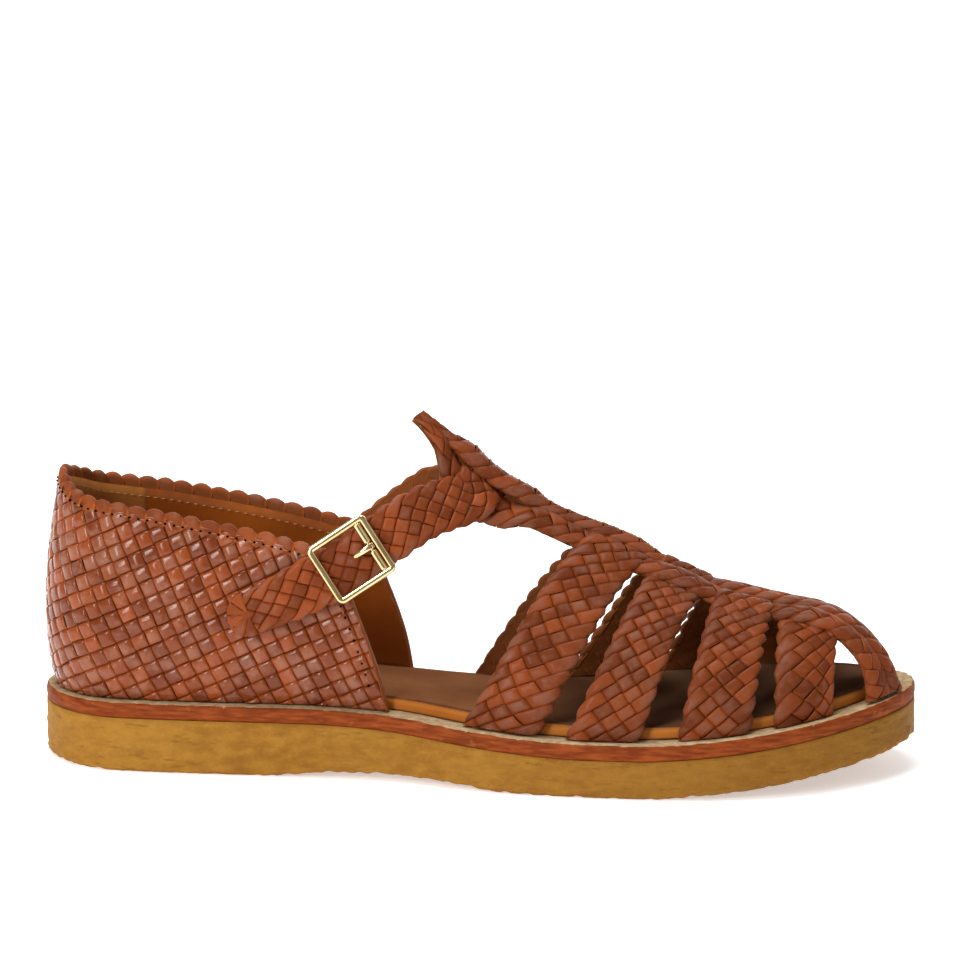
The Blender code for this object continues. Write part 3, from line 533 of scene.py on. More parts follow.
class LaidSurface:
    """A smooth surface kept on a fine grid: read at u and v, and lifted along its outward way."""

    def __init__(self, frame_at, low, high, counts):
        self.low, self.high = np.array(low), np.array(high)
        self.counts = counts
        table = []
        for u in np.linspace(low[0], high[0], counts[0]):
            for v in np.linspace(low[1], high[1], counts[1]):
                table.append(np.concatenate(frame_at(u, v)))
        self.table = np.array(table).reshape(*counts, 6)

    def at(self, u, v, off):
        place = []
        for k, value in enumerate((u, v)):
            share = (np.asarray(value) - self.low[k]) / (self.high[k] - self.low[k])
            place.append(np.clip(share, 0.0, 1.0) * (self.counts[k] - 1))
        i = np.minimum(place[0].astype(int), self.counts[0] - 2)
        j = np.minimum(place[1].astype(int), self.counts[1] - 2)
        s, t = (place[0] - i)[..., None], (place[1] - j)[..., None]
        row = (self.table[i, j] * (1 - s) + self.table[i + 1, j] * s) * (1 - t)
        row = row + (self.table[i, j + 1] * (1 - s) + self.table[i + 1, j + 1] * s) * t
        return row[..., :3] + row[..., 3:] * np.asarray(off)[..., None]


# Per-vertex layers: each strip's tone, how much painted shade it takes, and how raw it is.
STRIP_LAYERS = ("tone", "painted_shade", "raw")


def strip_grid(bm, steps, place, tone):
    """A strip of leather: a grid whose corners, from 0 to 1 both ways, are laid by place."""
    made = bmesh.ops.create_grid(
        bm, x_segments=steps[0], y_segments=steps[1], size=0.5, calc_uvs=True
    )
    verts = made["verts"]
    u = np.array([vert.co.x + 0.5 for vert in verts])
    v = np.array([vert.co.y + 0.5 for vert in verts])
    points, painted_shade, raw = place(u, v)
    layers = [bm.verts.layers.float[name] for name in STRIP_LAYERS]
    for vert, point, *values in zip(verts, points, [tone] * len(verts), painted_shade, raw):
        vert.co = point
        for layer, value in zip(layers, values):
            vert[layer] = value


def strip_mesh():
    bm = bmesh.new()
    bm.loops.layers.uv.new("strip")
    for name in STRIP_LAYERS:
        bm.verts.layers.float.new(name)
    return bm


def strip_piece(bm, name, finish):
    bmesh.ops.recalc_face_normals(bm, faces=bm.faces)
    return piece_from(bm, name, finish)


def strip_leather(name, gloss, dark, light, red, highlight_mauve):
    """Strip leather: each strip its own tone, raw orange edges, painted shade in the dips, and a
    painted mauve highlight on the crowns.
    """
    finish = Finish(name)
    tone, painted_shade, raw = (finish.attribute(name) for name in STRIP_LAYERS)
    spot = finish.add("ShaderNodeUVMap", {"uv_map": "strip"})
    across = finish.add("ShaderNodeSeparateXYZ", sockets={0: spot}, output=1)
    along = finish.add("ShaderNodeSeparateXYZ", sockets={0: spot}, output=0)
    cloud = finish.speckle(130, detail=4, rough=0.6)
    wide = finish.speckle(34, detail=2)
    grain = finish.speckle(1500, detail=3, rough=0.6)
    pores = finish.speckle(3600, detail=2)
    from_middle = abs(across - 0.5)
    from_end = abs(along - 0.5)
    edge = finish.step(from_middle + (cloud - 0.5) * 0.06, 0.375, 0.425)
    body = finish.blend(finish.step(tone * 0.50 + cloud * 0.75, 0.25, 1.0), dark, light)
    body = finish.blend(finish.step(tone + (wide - 0.5) * 1.4, 0.62, 1.0) * 0.40, body, red)
    # Painted highlight: a mauve-grey tint on the crown of each strip, away from its edges and ends.
    crown_highlight = finish.step(cloud + wide * 0.5, 0.66, 0.90) * (1 - finish.step(from_middle, 0.10, 0.36))
    crown_highlight = crown_highlight * (1 - finish.step(from_end, 0.14, 0.40))
    body = finish.blend(crown_highlight * 0.60, body, highlight_mauve)
    flesh = finish.blend(cloud, (0.185, 0.062, 0.018), (0.315, 0.112, 0.034))
    body = finish.blend(raw, body, flesh)
    body = finish.blend(edge * 0.62, body, (0.400, 0.098, 0.017))
    # Painted shade: tucked ends, dropped sides and gaps are darkened almost to black.
    dip_shade = finish.step(painted_shade, 0.50, 1.0)
    body = finish.blend(dip_shade * 0.86, body, (0.022, 0.007, 0.004))
    lustre = (1 - dip_shade) * (1 - raw) * (1 - edge)
    finish.shade({
        "Base Color": body,
        "Roughness": 0.62 - lustre * gloss + (cloud - 0.5) * 0.16,
        "Coat Weight": lustre * (gloss * 1.6 - 0.16),
        "Coat Roughness": 0.16,
        "Specular IOR Level": 0.06,
        "Normal": finish.bump(grain * 0.6 + pores * 0.3 + cloud * 0.8, 0.35, 0.00022),
    })
    return finish


woven = strip_leather(
    "woven_glazed_leather",
    0.40,
    (0.155, 0.030, 0.007), (0.315, 0.066, 0.013),
    (0.355, 0.064, 0.011), (0.300, 0.132, 0.082),
)
draw = random.Random(7)
wall = HeelWall()
reach = {-1: 1.0, 1: INNER_REACH}
wall_surface = {
    side: LaidSurface(
        lambda length, height, side=side: wall.frame(side, length * reach[side], height),
        (0.0, -2 * MM),
        (1.04 * QUARTER_LENGTH, 1.06 * QUARTER_HEIGHT),
        (121, 41),
    )
    for side in (-1, 1)
}


def edge_curve(rows, spacing):
    """Evenly spaced points on the smooth edge through rows given in shares."""
    fine = fine_curve(rows) * np.array([QUARTER_LENGTH, QUARTER_HEIGHT])
    lengths = lengths_along(fine)
    marks = np.linspace(0.0, lengths[-1], max(round(lengths[-1] / spacing), 2) + 1)
    return read_line(marks, lengths, fine), marks


collar, collar_marks = edge_curve(COLLAR_EDGE, 0.5 * MM)
front, front_marks = edge_curve(FRONT_EDGE, 0.5 * MM)


def trim(length, height, margin):
    """Holds points of the flat pattern inside its edge."""
    top = np.interp(length, collar[:, 0], collar[:, 1]) - margin
    height = np.clip(height, 0.0, top)
    end = np.interp(height, front[::-1, 1], front[::-1, 0]) - margin * 0.3
    return np.clip(length, 0.0, end), height


TILE_ALONG = np.array([-1.12, -0.95, -0.70, 0.0, 0.70, 0.95, 1.12])
TILE_ACROSS = np.array([-0.985, -0.925, -0.55, 0.0, 0.55, 0.925, 0.985])
TILE_DROP = np.array([1.15, 0.12, 0.0, -0.04, 0.0, 0.12, 1.15])
STRIP_SINK = 0.25 * MM


def tile(share, table):
    """Reads a table laid evenly over one face of a strip."""
    return np.interp(share, np.linspace(0, 1, 7), table)


bm = strip_mesh()
ahead = np.array([math.cos(WEAVE_SLOPE), math.sin(WEAVE_SLOPE)]) * WEAVE_STRIP
aside = np.array([-math.sin(WEAVE_SLOPE), math.cos(WEAVE_SLOPE)]) * WEAVE_STRIP
for side in (-1, 1):
    for i in WEAVE_ROWS:
        for j in WEAVE_COLUMNS:
            centre = ahead * (i + 0.5) + aside * (j + 0.5)
            kept = trim(*centre, 0.0)
            if abs(kept[0] - centre[0]) + abs(kept[1] - centre[1]) > 0.62 * WEAVE_STRIP:
                continue
            over = (i + j) % 2 == 0
            strand, cross = (ahead, aside) if over else (aside, -ahead)
            turn = draw.uniform(-0.045, 0.045)
            shift = (draw.uniform(-1, 1) * WEAVE_SHIFT, draw.uniform(-1, 1) * WEAVE_SHIFT)
            lift = draw.uniform(-0.05, 0.10) * MM
            puff = WEAVE_RELIEF * draw.uniform(0.8, 1.25)
            slope = draw.uniform(-0.14, 0.14) * MM

            def lay(u, v):
                p, q, drop = tile(u, TILE_ALONG), tile(v, TILE_ACROSS), tile(v, TILE_DROP)
                p2, q2 = p - turn * q, q + turn * p
                spot = centre + shift + strand * (p2 / 2)[:, None] + cross * (q2 / 2)[:, None]
                arch = 1 - 0.35 * p**2 - 1.75 * np.abs(p) ** 7
                off = QUARTER_WALL / 2 - STRIP_SINK + lift + puff * arch + slope * q
                off = off - drop * WEAVE_RELIEF * 1.5
                length, height = trim(spot[:, 0], spot[:, 1], 0.4 * MM)
                # Painted shade darkens each tile's tucked ends and dropped sides.
                painted_shade = smooth((np.abs(p) - 0.90) / 0.16)
                painted_shade = np.maximum(painted_shade, smooth(drop) * 0.30)
                # Painted shade darkens the weave near the foot of the wall, where it meets the
                # sole.
                low = smooth(1 - height / (3.0 * MM)) * 0.55
                return wall_surface[side].at(length, height, off), np.maximum(painted_shade, low), 0 * p

            heel_tone = 0.22 * (1 - smooth(centre[0] / (26 * MM)))
            strip_grid(bm, (6, 6), lay, min(draw.random() * 0.85 + heel_tone, 1.0))
weave = strip_piece(bm, "quarter_weave", woven)
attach(weave, "root")
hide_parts("quarter")

# Heel quarter, the collar and front edge
# Along the collar the strip ends are folded over the edge one after the other like scales and sewn
# down in one row. Down the front the sheet is cut plain, with a raw orange edge and its own row.
COLLAR_ROLL = 1.15 * MM
# Share of a strip at which its inside leg ends, the fold begins and ends, and its outside leg ends.
FOLD_SHARES = (0.0, 0.30, 0.72, 1.0)
FOLD_TURNS = (0.0, 0.0, math.pi, math.pi)
FOLD_LEGS = (-3.0 * MM, -0.2 * MM, -0.2 * MM, -4.6 * MM)
FOLD_TUCK = 0.55 * MM
FOLD_SOFT_EDGE = 0.35 * MM
BINDING_BULGE = 0.55 * MM
BINDING_INSET = 0.4 * MM
BINDING_HALF = 1.3 * MM
collar_leather = strip_leather(
    "folded_collar_leather",
    0.10,
    (0.165, 0.036, 0.010), (0.325, 0.078, 0.020),
    (0.370, 0.078, 0.016), (0.260, 0.110, 0.068),
)


def edge_frame(points, marks, mark):
    """A point on the flat edge and the way out of the sheet there."""
    before = read_line(np.clip(mark - 1 * MM, 0.0, marks[-1] - 1 * MM), marks, points)
    after = read_line(np.clip(mark + 1 * MM, 1 * MM, marks[-1]), marks, points)
    along = after - before
    along = along / np.linalg.norm(along, axis=-1)[..., None]
    outward = np.stack([-along[..., 1], along[..., 0]], axis=-1)
    return read_line(mark, marks, points), outward


bm = strip_mesh()
lobes = round(collar_marks[-1] / LOBE_PITCH)
pitch = collar_marks[-1] / lobes
for side in (-1, 1):
    for k in range(-1 if side < 0 else 0, lobes + 1):
        middle = (k + 0.5) * pitch + draw.uniform(-0.3, 0.3) * MM
        half = pitch * draw.uniform(0.60, 0.68)
        crown = draw.uniform(1.7, 2.2) * MM
        tilt = draw.uniform(0.30, 0.50) * MM

        def fold(u, v):
            turn = np.interp(u, FOLD_SHARES, FOLD_TURNS)
            leg = np.interp(u, FOLD_SHARES, FOLD_LEGS)
            q = 2 * v - 1
            narrow = 1 - 0.34 * smooth((0.22 - u) / 0.22)
            mark = middle + q * half * narrow - 0.22 * leg
            bow = crown * (0.72 - 0.95 * q**2)
            out = COLLAR_ROLL * np.cos(turn) * (1.0 + 0.10 * (1 - q**2))
            out = out + (tilt * q - FOLD_SOFT_EDGE * q**4) * np.cos(turn)
            out = out - FOLD_TUCK * smooth((0.13 - u) / 0.13)
            up = leg + (COLLAR_ROLL * 0.9 * np.sin(turn)) + bow * smooth((u - 0.10) / 0.30)
            place, outward = edge_frame(collar, collar_marks, np.abs(mark))
            spot = place + outward * up[:, None]
            near = np.maximum(spot[:, 0], 0.0)
            here = wall_surface[side].at(near, spot[:, 1], out)
            there = wall_surface[-side].at(near, spot[:, 1], out)
            points = np.where((mark < 0)[:, None], there, here)
            # Painted shade along one side of each fold and at its tucked inner end.
            painted_shade = smooth((-q - 0.72) / 0.28) * 0.75 + smooth((0.10 - u) / 0.10) * 0.5
            return points, painted_shade, smooth((u - 0.60) / 0.2) * 0.6

        strip_grid(bm, (12, 6), fold, draw.random() * 0.8)


def binding(u, v):
    turn = (v - 0.5) * math.pi
    place, outward = edge_frame(front, front_marks, u * front_marks[-1])
    spot = place + outward * (BINDING_BULGE * np.cos(turn) - BINDING_INSET)[:, None]
    off = BINDING_HALF * np.sin(turn)
    points = wall_surface[side].at(spot[:, 0], np.maximum(spot[:, 1], 0.0), off)
    return points, 0 * u, 0 * u + 0.55


for side in (-1, 1):
    strip_grid(bm, (60, 6), binding, 0.9)
collar_folds = strip_piece(bm, "quarter_collar_folds", collar_leather)
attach(collar_folds, "root")

# Heel quarter, stitching
# One row of holes and short pale stitches follows the collar, another the front edge.
# A third row holds the top of the lining and is seen from inside.
HOLE_PITCH = 2.75 * MM
FRONT_HOLE_PITCH = 3.6 * MM
HOLE_SIZE = (0.42 * MM, 0.36 * MM, 0.50 * MM)
STITCH_SIZE = (0.72 * MM, 0.13 * MM, 0.26 * MM)
LINING_DROP = 1.3 * MM
LINING_STITCH = 2.6 * MM
LINING_STITCH_DEPTH = LINING_DROP + 2.2 * MM
LINING_STITCH_OFF = -(QUARTER_WALL / 2) - 1.35 * MM
LINING_STITCH_SIZE = (0.65 * MM, 0.10 * MM, 0.55 * MM)
hole_finish = Finish("stitch_hole_shadow")
hole_finish.shade(
    {"Base Color": (0.004, 0.002, 0.001, 1.0), "Roughness": 1.0, "Specular IOR Level": 0.0}
)
thread = Finish("pale_waxed_thread")
twist = thread.speckle(2600, detail=2)
thread.shade({
    "Base Color": thread.blend(twist, (0.260, 0.130, 0.055), (0.470, 0.280, 0.140)),
    "Roughness": 0.6,
    "Normal": thread.bump(twist, 0.5, 0.0002),
})
holes, stitches = bmesh.new(), bmesh.new()


def bead(bm, centre, along, outward, size):
    """A small closed bead, longer along the seam."""
    made = bmesh.ops.create_uvsphere(bm, u_segments=8, v_segments=5, radius=1.0)
    aside_way = np.cross(outward, along)
    for vert in made["verts"]:
        x, y, z = vert.co
        vert.co = centre + along * x * size[0] + aside_way * y * size[1] + outward * z * size[2]


def seam_point(side, edge, marks, mark, depth, off):
    """A point of a seam that runs a depth inside an edge, lifted off the wall's middle."""
    place, outward = edge_frame(edge, marks, mark)
    spot = place - outward * depth
    return wall_surface[side].at(spot[0], max(spot[1], 1 * MM), off)


# Edge, start of the row, depth inside the edge, height off the wall's middle, pitch.
SEAM_ROWS = (
    (collar, collar_marks, 2.5 * MM, 1.5 * MM, 1.32 * MM, HOLE_PITCH),
    (front, front_marks, 3.4 * MM, 3.8 * MM, 1.30 * MM, FRONT_HOLE_PITCH),
)
for side in (-1, 1):
    for edge, marks, first, depth, off, gap in SEAM_ROWS:
        for k in range(int((marks[-1] - first - 2 * MM) / gap)):
            mark = first + k * gap
            low = seam_point(side, edge, marks, mark, depth, 0.0)
            here = seam_point(side, edge, marks, mark, depth, off)
            after = seam_point(side, edge, marks, mark + gap, depth, off)
            outward = unit(here - low)
            along = unit(after - here)
            bead(holes, here, along, outward, HOLE_SIZE)
            if k % 2:
                bead(stitches, (here + after) / 2, along, outward, STITCH_SIZE)
    row = (LINING_STITCH_DEPTH, LINING_STITCH_OFF)
    for k in range(int(collar_marks[-1] / LINING_STITCH)):
        here = seam_point(side, collar, collar_marks, k * LINING_STITCH, *row)
        after = seam_point(side, collar, collar_marks, (k + 1) * LINING_STITCH, *row)
        along = unit(after - here)
        outward = unit(np.array([-along[1], along[0], 0.0]))
        bead(stitches, (here + after) / 2, along, outward, LINING_STITCH_SIZE)
stitch_holes = piece_from(holes, "quarter_stitch_holes", hole_finish)
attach(stitch_holes, "root")
stitch_thread = piece_from(stitches, "quarter_stitch_thread", thread)
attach(stitch_thread, "root")

# Heel quarter, lining
# Smooth golden-brown leather, glued inside the weave, with a suede piece over the heel.
# The lining stops below the folded collar, under one pale row of stitches.
LINING_THICKNESS = 0.5 * MM
SUEDE_REACH = 36 * MM
GAP_SHADE_MARGIN = 1.0 * MM
lining_leather = Finish("golden_lining_leather")
cloud = lining_leather.speckle(30, detail=4)
nap = lining_leather.speckle(1300, detail=3, rough=0.7)
suede = lining_leather.attribute("raw")
tan = lining_leather.mottled(cloud, (0.225, 0.052, 0.005), (0.360, 0.092, 0.009))
napped = lining_leather.mottled(cloud, (0.300, 0.100, 0.020), (0.410, 0.155, 0.036))
lining_leather.shade({
    "Base Color": lining_leather.blend(suede, tan, napped),
    "Roughness": suede * 0.35 + 0.5,
    "Specular IOR Level": 0.12,
    "Normal": lining_leather.bump(nap, 0.35, 0.00025),
})


def lining_sheet(bm, first, final, depth, steps, bare):
    """A sheet inside the wall, from a length on the outer side (-) to one on the inner side (+)."""

    def lay(u, v):
        length = first + (final - first) * u
        far = np.abs(length)
        top = np.interp(far, collar[:, 0], collar[:, 1]) - LINING_DROP
        height = top * v
        end = np.interp(height, front[::-1, 1], front[::-1, 0]) - 0.3 * MM
        far = np.minimum(far, end)
        roll = LINING_THICKNESS * smooth((v - 0.94) / 0.06)
        off = -(QUARTER_WALL / 2) - depth + roll
        points = np.where(
            (length < 0)[:, None],
            wall_surface[-1].at(far, height, off),
            wall_surface[1].at(far, height, off),
        )
        return points, 0 * u, 0 * u + bare

    strip_grid(bm, steps, lay, 0.5)


bm = strip_mesh()
lining_sheet(bm, -QUARTER_LENGTH, QUARTER_LENGTH, 0.35 * MM, (120, 14), 0.0)
lining_sheet(bm, -SUEDE_REACH, SUEDE_REACH, 0.95 * MM, (48, 14), 1.0)
bmesh.ops.recalc_face_normals(bm, faces=bm.faces)
bmesh.ops.solidify(bm, geom=bm.faces[:], thickness=LINING_THICKNESS)
lining = piece_from(bm, "quarter_lining", lining_leather)
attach(lining, "root")

# A near-black sheet at the middle of the wall: painted shade that shows through the gaps in the
# weave.
gap_shade_finish = Finish("weave_gap_shade")
gap_shade_finish.shade({
    "Base Color": gap_shade_finish.blend(
        gap_shade_finish.speckle(200), (0.020, 0.007, 0.004), (0.045, 0.016, 0.008)
    ),
    "Roughness": 0.9,
})
bm = strip_mesh()
for side in (-1, 1):

    def lay_back(u, v):
        length = QUARTER_LENGTH * u
        height = v * np.interp(length, collar[:, 0], collar[:, 1])
        length, height = trim(length, height, GAP_SHADE_MARGIN)
        return wall_surface[side].at(length, height, 0.2 * MM), 0 * u, 0 * u

    strip_grid(bm, (60, 12), lay_back, 0.0)
gap_shade_sheet = strip_piece(bm, "quarter_gap_shade", gap_shade_finish)
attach(gap_shade_sheet, "root")

# Spine and cross straps
# Three narrow plaits run side by side from the tongue to the toe, and four flat braids cross them.
# Each is plaited from leather strips and threaded over and under the others, then lasted.
TONGUE_HEIGHT = 103.5 * MM
STRAP_WIDTH = 16.5 * MM
LANE_PITCH = 8.0 * MM
LANE_OVERLAP = 1.1 * MM
TIP_OVERLAP = 0.75
CROSSING_OFFSET = 0.95 * MM
LANE_RISE = 1.3 * CROSSING_OFFSET
STRAP_DIP = 1.2 * CROSSING_OFFSET
CROSSING_REACH = 2.1 * LANE_PITCH
SLIT_OFFSET = 2.0 * MM
SLIT_PARTING = 2.2 * MM
SLIT_OVERLAP = 2.8 * MM
STRAP_STEP = 3.0 * MM
LANE_STEP = 2.85 * MM
BRAID_PUFF = 0.22 * MM
STRIP_ROUND = 0.45 * MM
BACK_SINK = 0.35 * MM
CORE_LEVEL = 0.35 * MM
FACE_OVERSHOOT = 3.9
BACK_OVERSHOOT = 1.8
LOBE_CREST = 1.15 * MM
LOBE_VALLEY = 0.60 * MM
# ridge along and feet along: shares of the sole length. across: share of the ball width.
# height: share of the tongue's height. The last number shapes the inner shoulder.
RIDGE_ALONG, RIDGE_ACROSS, RIDGE_HEIGHT, OUTER_FOOT, INNER_FOOT, INNER_SHOULDER = range(6)
LAST_SECTIONS = (
    (0.434, 0.020, 1.006, 0.310, 0.310, 0.12),
    (0.485, 0.020, 0.906, 0.378, 0.370, 0.12),
    (0.526, 0.020, 0.816, 0.420, 0.416, 0.12),
    (0.592, 0.030, 0.731, 0.475, 0.473, 0.12),
    (0.676, 0.040, 0.636, 0.531, 0.508, 0.10),
    (0.739, 0.040, 0.557, 0.661, 0.622, 0.36),
    (0.809, 0.030, 0.496, 0.783, 0.732, 0.36),
    (0.889, 0.010, 0.455, 0.892, 0.848, 0.30),
    (0.934, -0.020, 0.409, 0.922, 0.912, 0.30),
    (0.964, -0.050, 0.343, 0.932, 0.930, 0.30),
    (0.982, -0.070, 0.244, 0.934, 0.946, 0.30),
)
OUTER_SHOULDER = 0.34
SHOULDER_OUT = 0.52
SHOULDER_DROP = 0.05
FLANK_BACK = 0.45
FLANK_RISE = 0.55
FLANK_BULGE = 1.5 * MM
FOOT_LIFT = 1.4 * CLEARANCE
ANKLE_SECTION = 1.8
SLIT_KNOTS = [ANKLE_SECTION + step for step in (-1.18, -0.68, 0.66, 1.12)]
STRAP_SECTIONS = {"a": 4.0, "b": 5.0, "c": 6.0, "d": 7.0}
STRAP_WIDTHS = {
    "a": (1.00, 1.18, 1.24),
    "b": (1.00, 1.00, 1.16),
    "c": (1.00, 1.06, 1.20),
    "d": (1.00, 1.08, 1.22),
}
# Over (+1) or under (-1) each strap, heel side first.
LANE_ORDER = {
    "outer": (-1, -1, 1, -1, 1),
    "middle": (1, 1, -1, 1, 1),
    "inner": (1, -1, 1, -1, 1),
}
LANE_PLACE = {"outer": -1, "middle": 0, "inner": 1}
LANE_SHIFT = {"outer": -1.0, "middle": 0.3, "inner": 0.1}


class Last:
    """The surface through the middle of the braids: a place along, and -1 to 1 across."""

    def __init__(self):
        last_plan = inset_plan(BRAID_THICKNESS / 2, 6)
        toe = int(np.argmax(last_plan[:, 0]))
        self.sides = {-1: last_plan[: toe + 1], 1: last_plan[: toe - 1 : -1]}
        self.ribs = {}

    def foot(self, side, along):
        points = self.sides[side]
        x = (along - 0.5) * SOLE_LENGTH
        y = np.interp(x, points[:, 0], points[:, 1])
        return np.array([x, y, midsole_top(x) + FOOT_LIFT])

    def rib(self, place, side):
        """Four control points of half a section, from the ridge to the feather line."""
        row = spline(LAST_SECTIONS, place)
        ridge = np.array(
            [
                (row[RIDGE_ALONG] - 0.5) * SOLE_LENGTH,
                row[RIDGE_ACROSS] * BALL_WIDTH,
                row[RIDGE_HEIGHT] * TONGUE_HEIGHT,
            ]
        )
        foot = self.foot(side, row[OUTER_FOOT] if side < 0 else row[INNER_FOOT])
        x, y, z = foot - ridge
        bulge = min(FLANK_BULGE, -0.06 * z)
        share = OUTER_SHOULDER if side < 0 else row[INNER_SHOULDER]
        shoulder = ridge + np.array([share * x, SHOULDER_OUT * y, SHOULDER_DROP * z])
        flank = foot + np.array([-FLANK_BACK * x, side * bulge, -FLANK_RISE * z])
        return ridge, shoulder, flank, foot

    def point(self, place, across):
        side = -1 if across < 0 else 1
        key = (round(place, 6), side)
        if key not in self.ribs:
            self.ribs[key] = self.rib(place, side)
        a, b, c, d = self.ribs[key]
        t = abs(across)
        s = 1 - t
        return s**3 * a + 3 * s**2 * t * b + 3 * s * t**2 * c + t**3 * d

    def along_and_across(self, place, across):
        step = 0.02
        along = (self.point(place + step, across) - self.point(place - step, across)) / (2 * step)
        low = max(across - step, -1.0)
        high = min(across + step, 1.0)
        side = (self.point(place, high) - self.point(place, low)) / (high - low)
        return along, side

    def outward(self, place, across):
        along, side = self.along_and_across(place, across)
        return unit(np.cross(along, side))

    def across_at(self, place, distance):
        """The share across at a distance from the ridge, measured over the surface."""
        side = -1 if distance < 0 else 1
        marks = np.linspace(0.0, 1.0, 25)
        points = np.array([self.point(place, side * mark) for mark in marks])
        return side * np.interp(abs(distance), lengths_along(points), marks)


def wave(place, knots, values):
    """Eases from value to value, level at each knot."""
    if place <= knots[0]:
        return values[0]
    for k in range(len(knots) - 1):
        if place <= knots[k + 1]:
            t = smooth((place - knots[k]) / (knots[k + 1] - knots[k]))
            return values[k] + (values[k + 1] - values[k]) * t
    return values[-1]


def slit_wave(place, value):
    """Rises to a value along the slit and falls back to nothing."""
    return wave(place, SLIT_KNOTS, [0.0, value, value, 0.0])


def lane_offset(lane, place):
    """How far a lane rises over, or dips under, the straps that it crosses."""
    knots = list(SLIT_KNOTS)
    values = [0.0] + [LANE_ORDER[lane][0] * SLIT_OFFSET] * 2 + [0.0]
    for order, section in zip(LANE_ORDER[lane][1:], STRAP_SECTIONS.values()):
        knots.append(section)
        values.append(order * LANE_RISE)
    knots.append(len(LAST_SECTIONS) - 2.0)
    values.append(0.0)
    return wave(place, knots, values)


def spine_spread(place):
    """Share of the full lane pitch: narrow at the tongue's tip, wide at the toe."""
    end = len(LAST_SECTIONS) - 1.0
    return wave(place, [0.0, 1.5, end - 2.0, end], [0.26, 1.0, 0.96, 1.06])


def lane_centre(lane, place):
    shift = slit_wave(place, SLIT_PARTING * LANE_SHIFT[lane])
    return LANE_PLACE[lane] * LANE_PITCH * spine_spread(place) + shift


class Braid:
    """A flat braid laid on a surface: length along it, distance from its centre line."""

    def __init__(self, frame_at, length, width, cells, step, crown):
        half_reach = 0.62 * max(width(share * length) for share in np.linspace(0, 1, 30))
        counts = (max(round(length / (2 * MM)), 8), 11)
        self.surface = LaidSurface(frame_at, (0.0, -half_reach), (length, half_reach), counts)
        self.length, self.cells, self.crown = length, cells, crown
        self.marks = np.linspace(0.0, length, 160)
        self.widths = np.array([width(mark) for mark in self.marks])
        self.rows = round(length / step)
        self.step = length / self.rows

    def lay(self, bm, draw):
        """Lays every strip of the braid: its face, and more coarsely its underside."""
        for i in range(-1, self.rows + 2):
            for j in range(1, self.cells):
                if (i + j) % 2 == 0:
                    continue
                at_edge = j in (1, self.cells - 1)
                for face, steps in ((1, (11 if at_edge else 6, 6)), (-1, (4, 2))):
                    lift = draw.uniform(-0.06, 0.14) * MM
                    tone = draw.random()
                    puff = BRAID_PUFF * draw.uniform(0.8, 1.25)
                    slope = draw.uniform(-0.10, 0.10) * MM
                    row = i + draw.uniform(-0.05, 0.05)

                    def lay(u, v):
                        return self.strip(u, v, row, j, face, lift, puff, slope)

                    strip_grid(bm, steps, lay, tone)

    def strip(self, u, v, row, j, face, lift, puff, slope):
        """Where one strip lies. At the braid's edge it is folded round to the other face."""
        first, final = j == 1, j == self.cells - 1
        lean = face if j % 2 else -face
        q, drop = tile(v, TILE_ACROSS), tile(v, TILE_DROP)
        if face < 0:
            q, drop = (2 * v - 1) * 0.98, 0 * v
        low, high = -1.16 + 0 * u, 1.16 + 0 * u
        overshoot = FACE_OVERSHOOT if face > 0 else BACK_OVERSHOOT
        if first:
            low = -overshoot - q
        elif final:
            high = overshoot - q
        p = low + (high - low) * u
        mark = (row + lean * (p - q) / 2) * self.step
        width = np.interp(mark, self.marks, self.widths)
        pitch, half = width / self.cells, width / 2
        e = (j + (p + q) / 2) * pitch - half
        arch, painted_shade = np.ones_like(p), 0 * p
        # Painted shade at strip ends that tuck under the next strip, and along their dropped sides.
        for end, folds in ((-1, first), (1, final)):
            if not folds:
                run = np.maximum(p * end, 0.0)
                arch = arch - 0.35 * run**2 - 2.2 * run**6
                painted_shade = np.maximum(painted_shade, smooth((run - 0.88) / 0.18))
        painted_shade = np.maximum(painted_shade, drop.clip(0, 1) * 0.25)
        raw = 0 * p + (0.75 if face < 0 else 0.0)
        off = BRAID_THICKNESS / 2 - STRIP_SINK + lift + puff * arch + slope * q
        off = off - drop * STRIP_ROUND + self.crown * (1 - np.clip(e / half, -1, 1) ** 2)
        if face < 0:
            off = BACK_SINK - BRAID_THICKNESS / 2 - 0.6 * puff * np.maximum(arch, -0.4)
            e = np.clip(e, 0.10 * pitch - half, half - 0.10 * pitch)
        elif first or final:
            start = 0.55 * pitch
            lobe = LOBE_CREST * (1 - q**2) - LOBE_VALLEY
            past = np.maximum(start - (e + half if first else half - e), 0.0)
            turn = np.minimum(past / (1.15 * BRAID_THICKNESS / 2), math.pi * 0.92)
            edge = half - start + (start + lobe) * np.sin(turn)
            e = np.where(past > 0, edge * (-1 if first else 1), e)
            off = np.where(past > 0, off * np.cos(turn), off)
            raw = np.where(turn > 1.7, 0.75, raw)
        return self.surface.at(np.clip(mark, 0.0, self.length), e, off), painted_shade, raw

    def core(self, bm):
        """A dark sheet inside the braid: painted shade that closes the gaps between its strips."""
        steps = max(round(self.length / (3 * MM)), 8)
        for level in (-CORE_LEVEL, CORE_LEVEL):

            def lay(u, v):
                mark = u * self.length
                half = np.interp(mark, self.marks, self.widths) / 2 - 0.7 * MM
                e = (2 * v - 1) * half
                off = level + self.crown * (1 - (2 * v - 1) ** 2) * 0.8
                return self.surface.at(mark, e, off), 0.8 + 0 * u, 0 * u

            strip_grid(bm, (steps, 4), lay, 0.0)


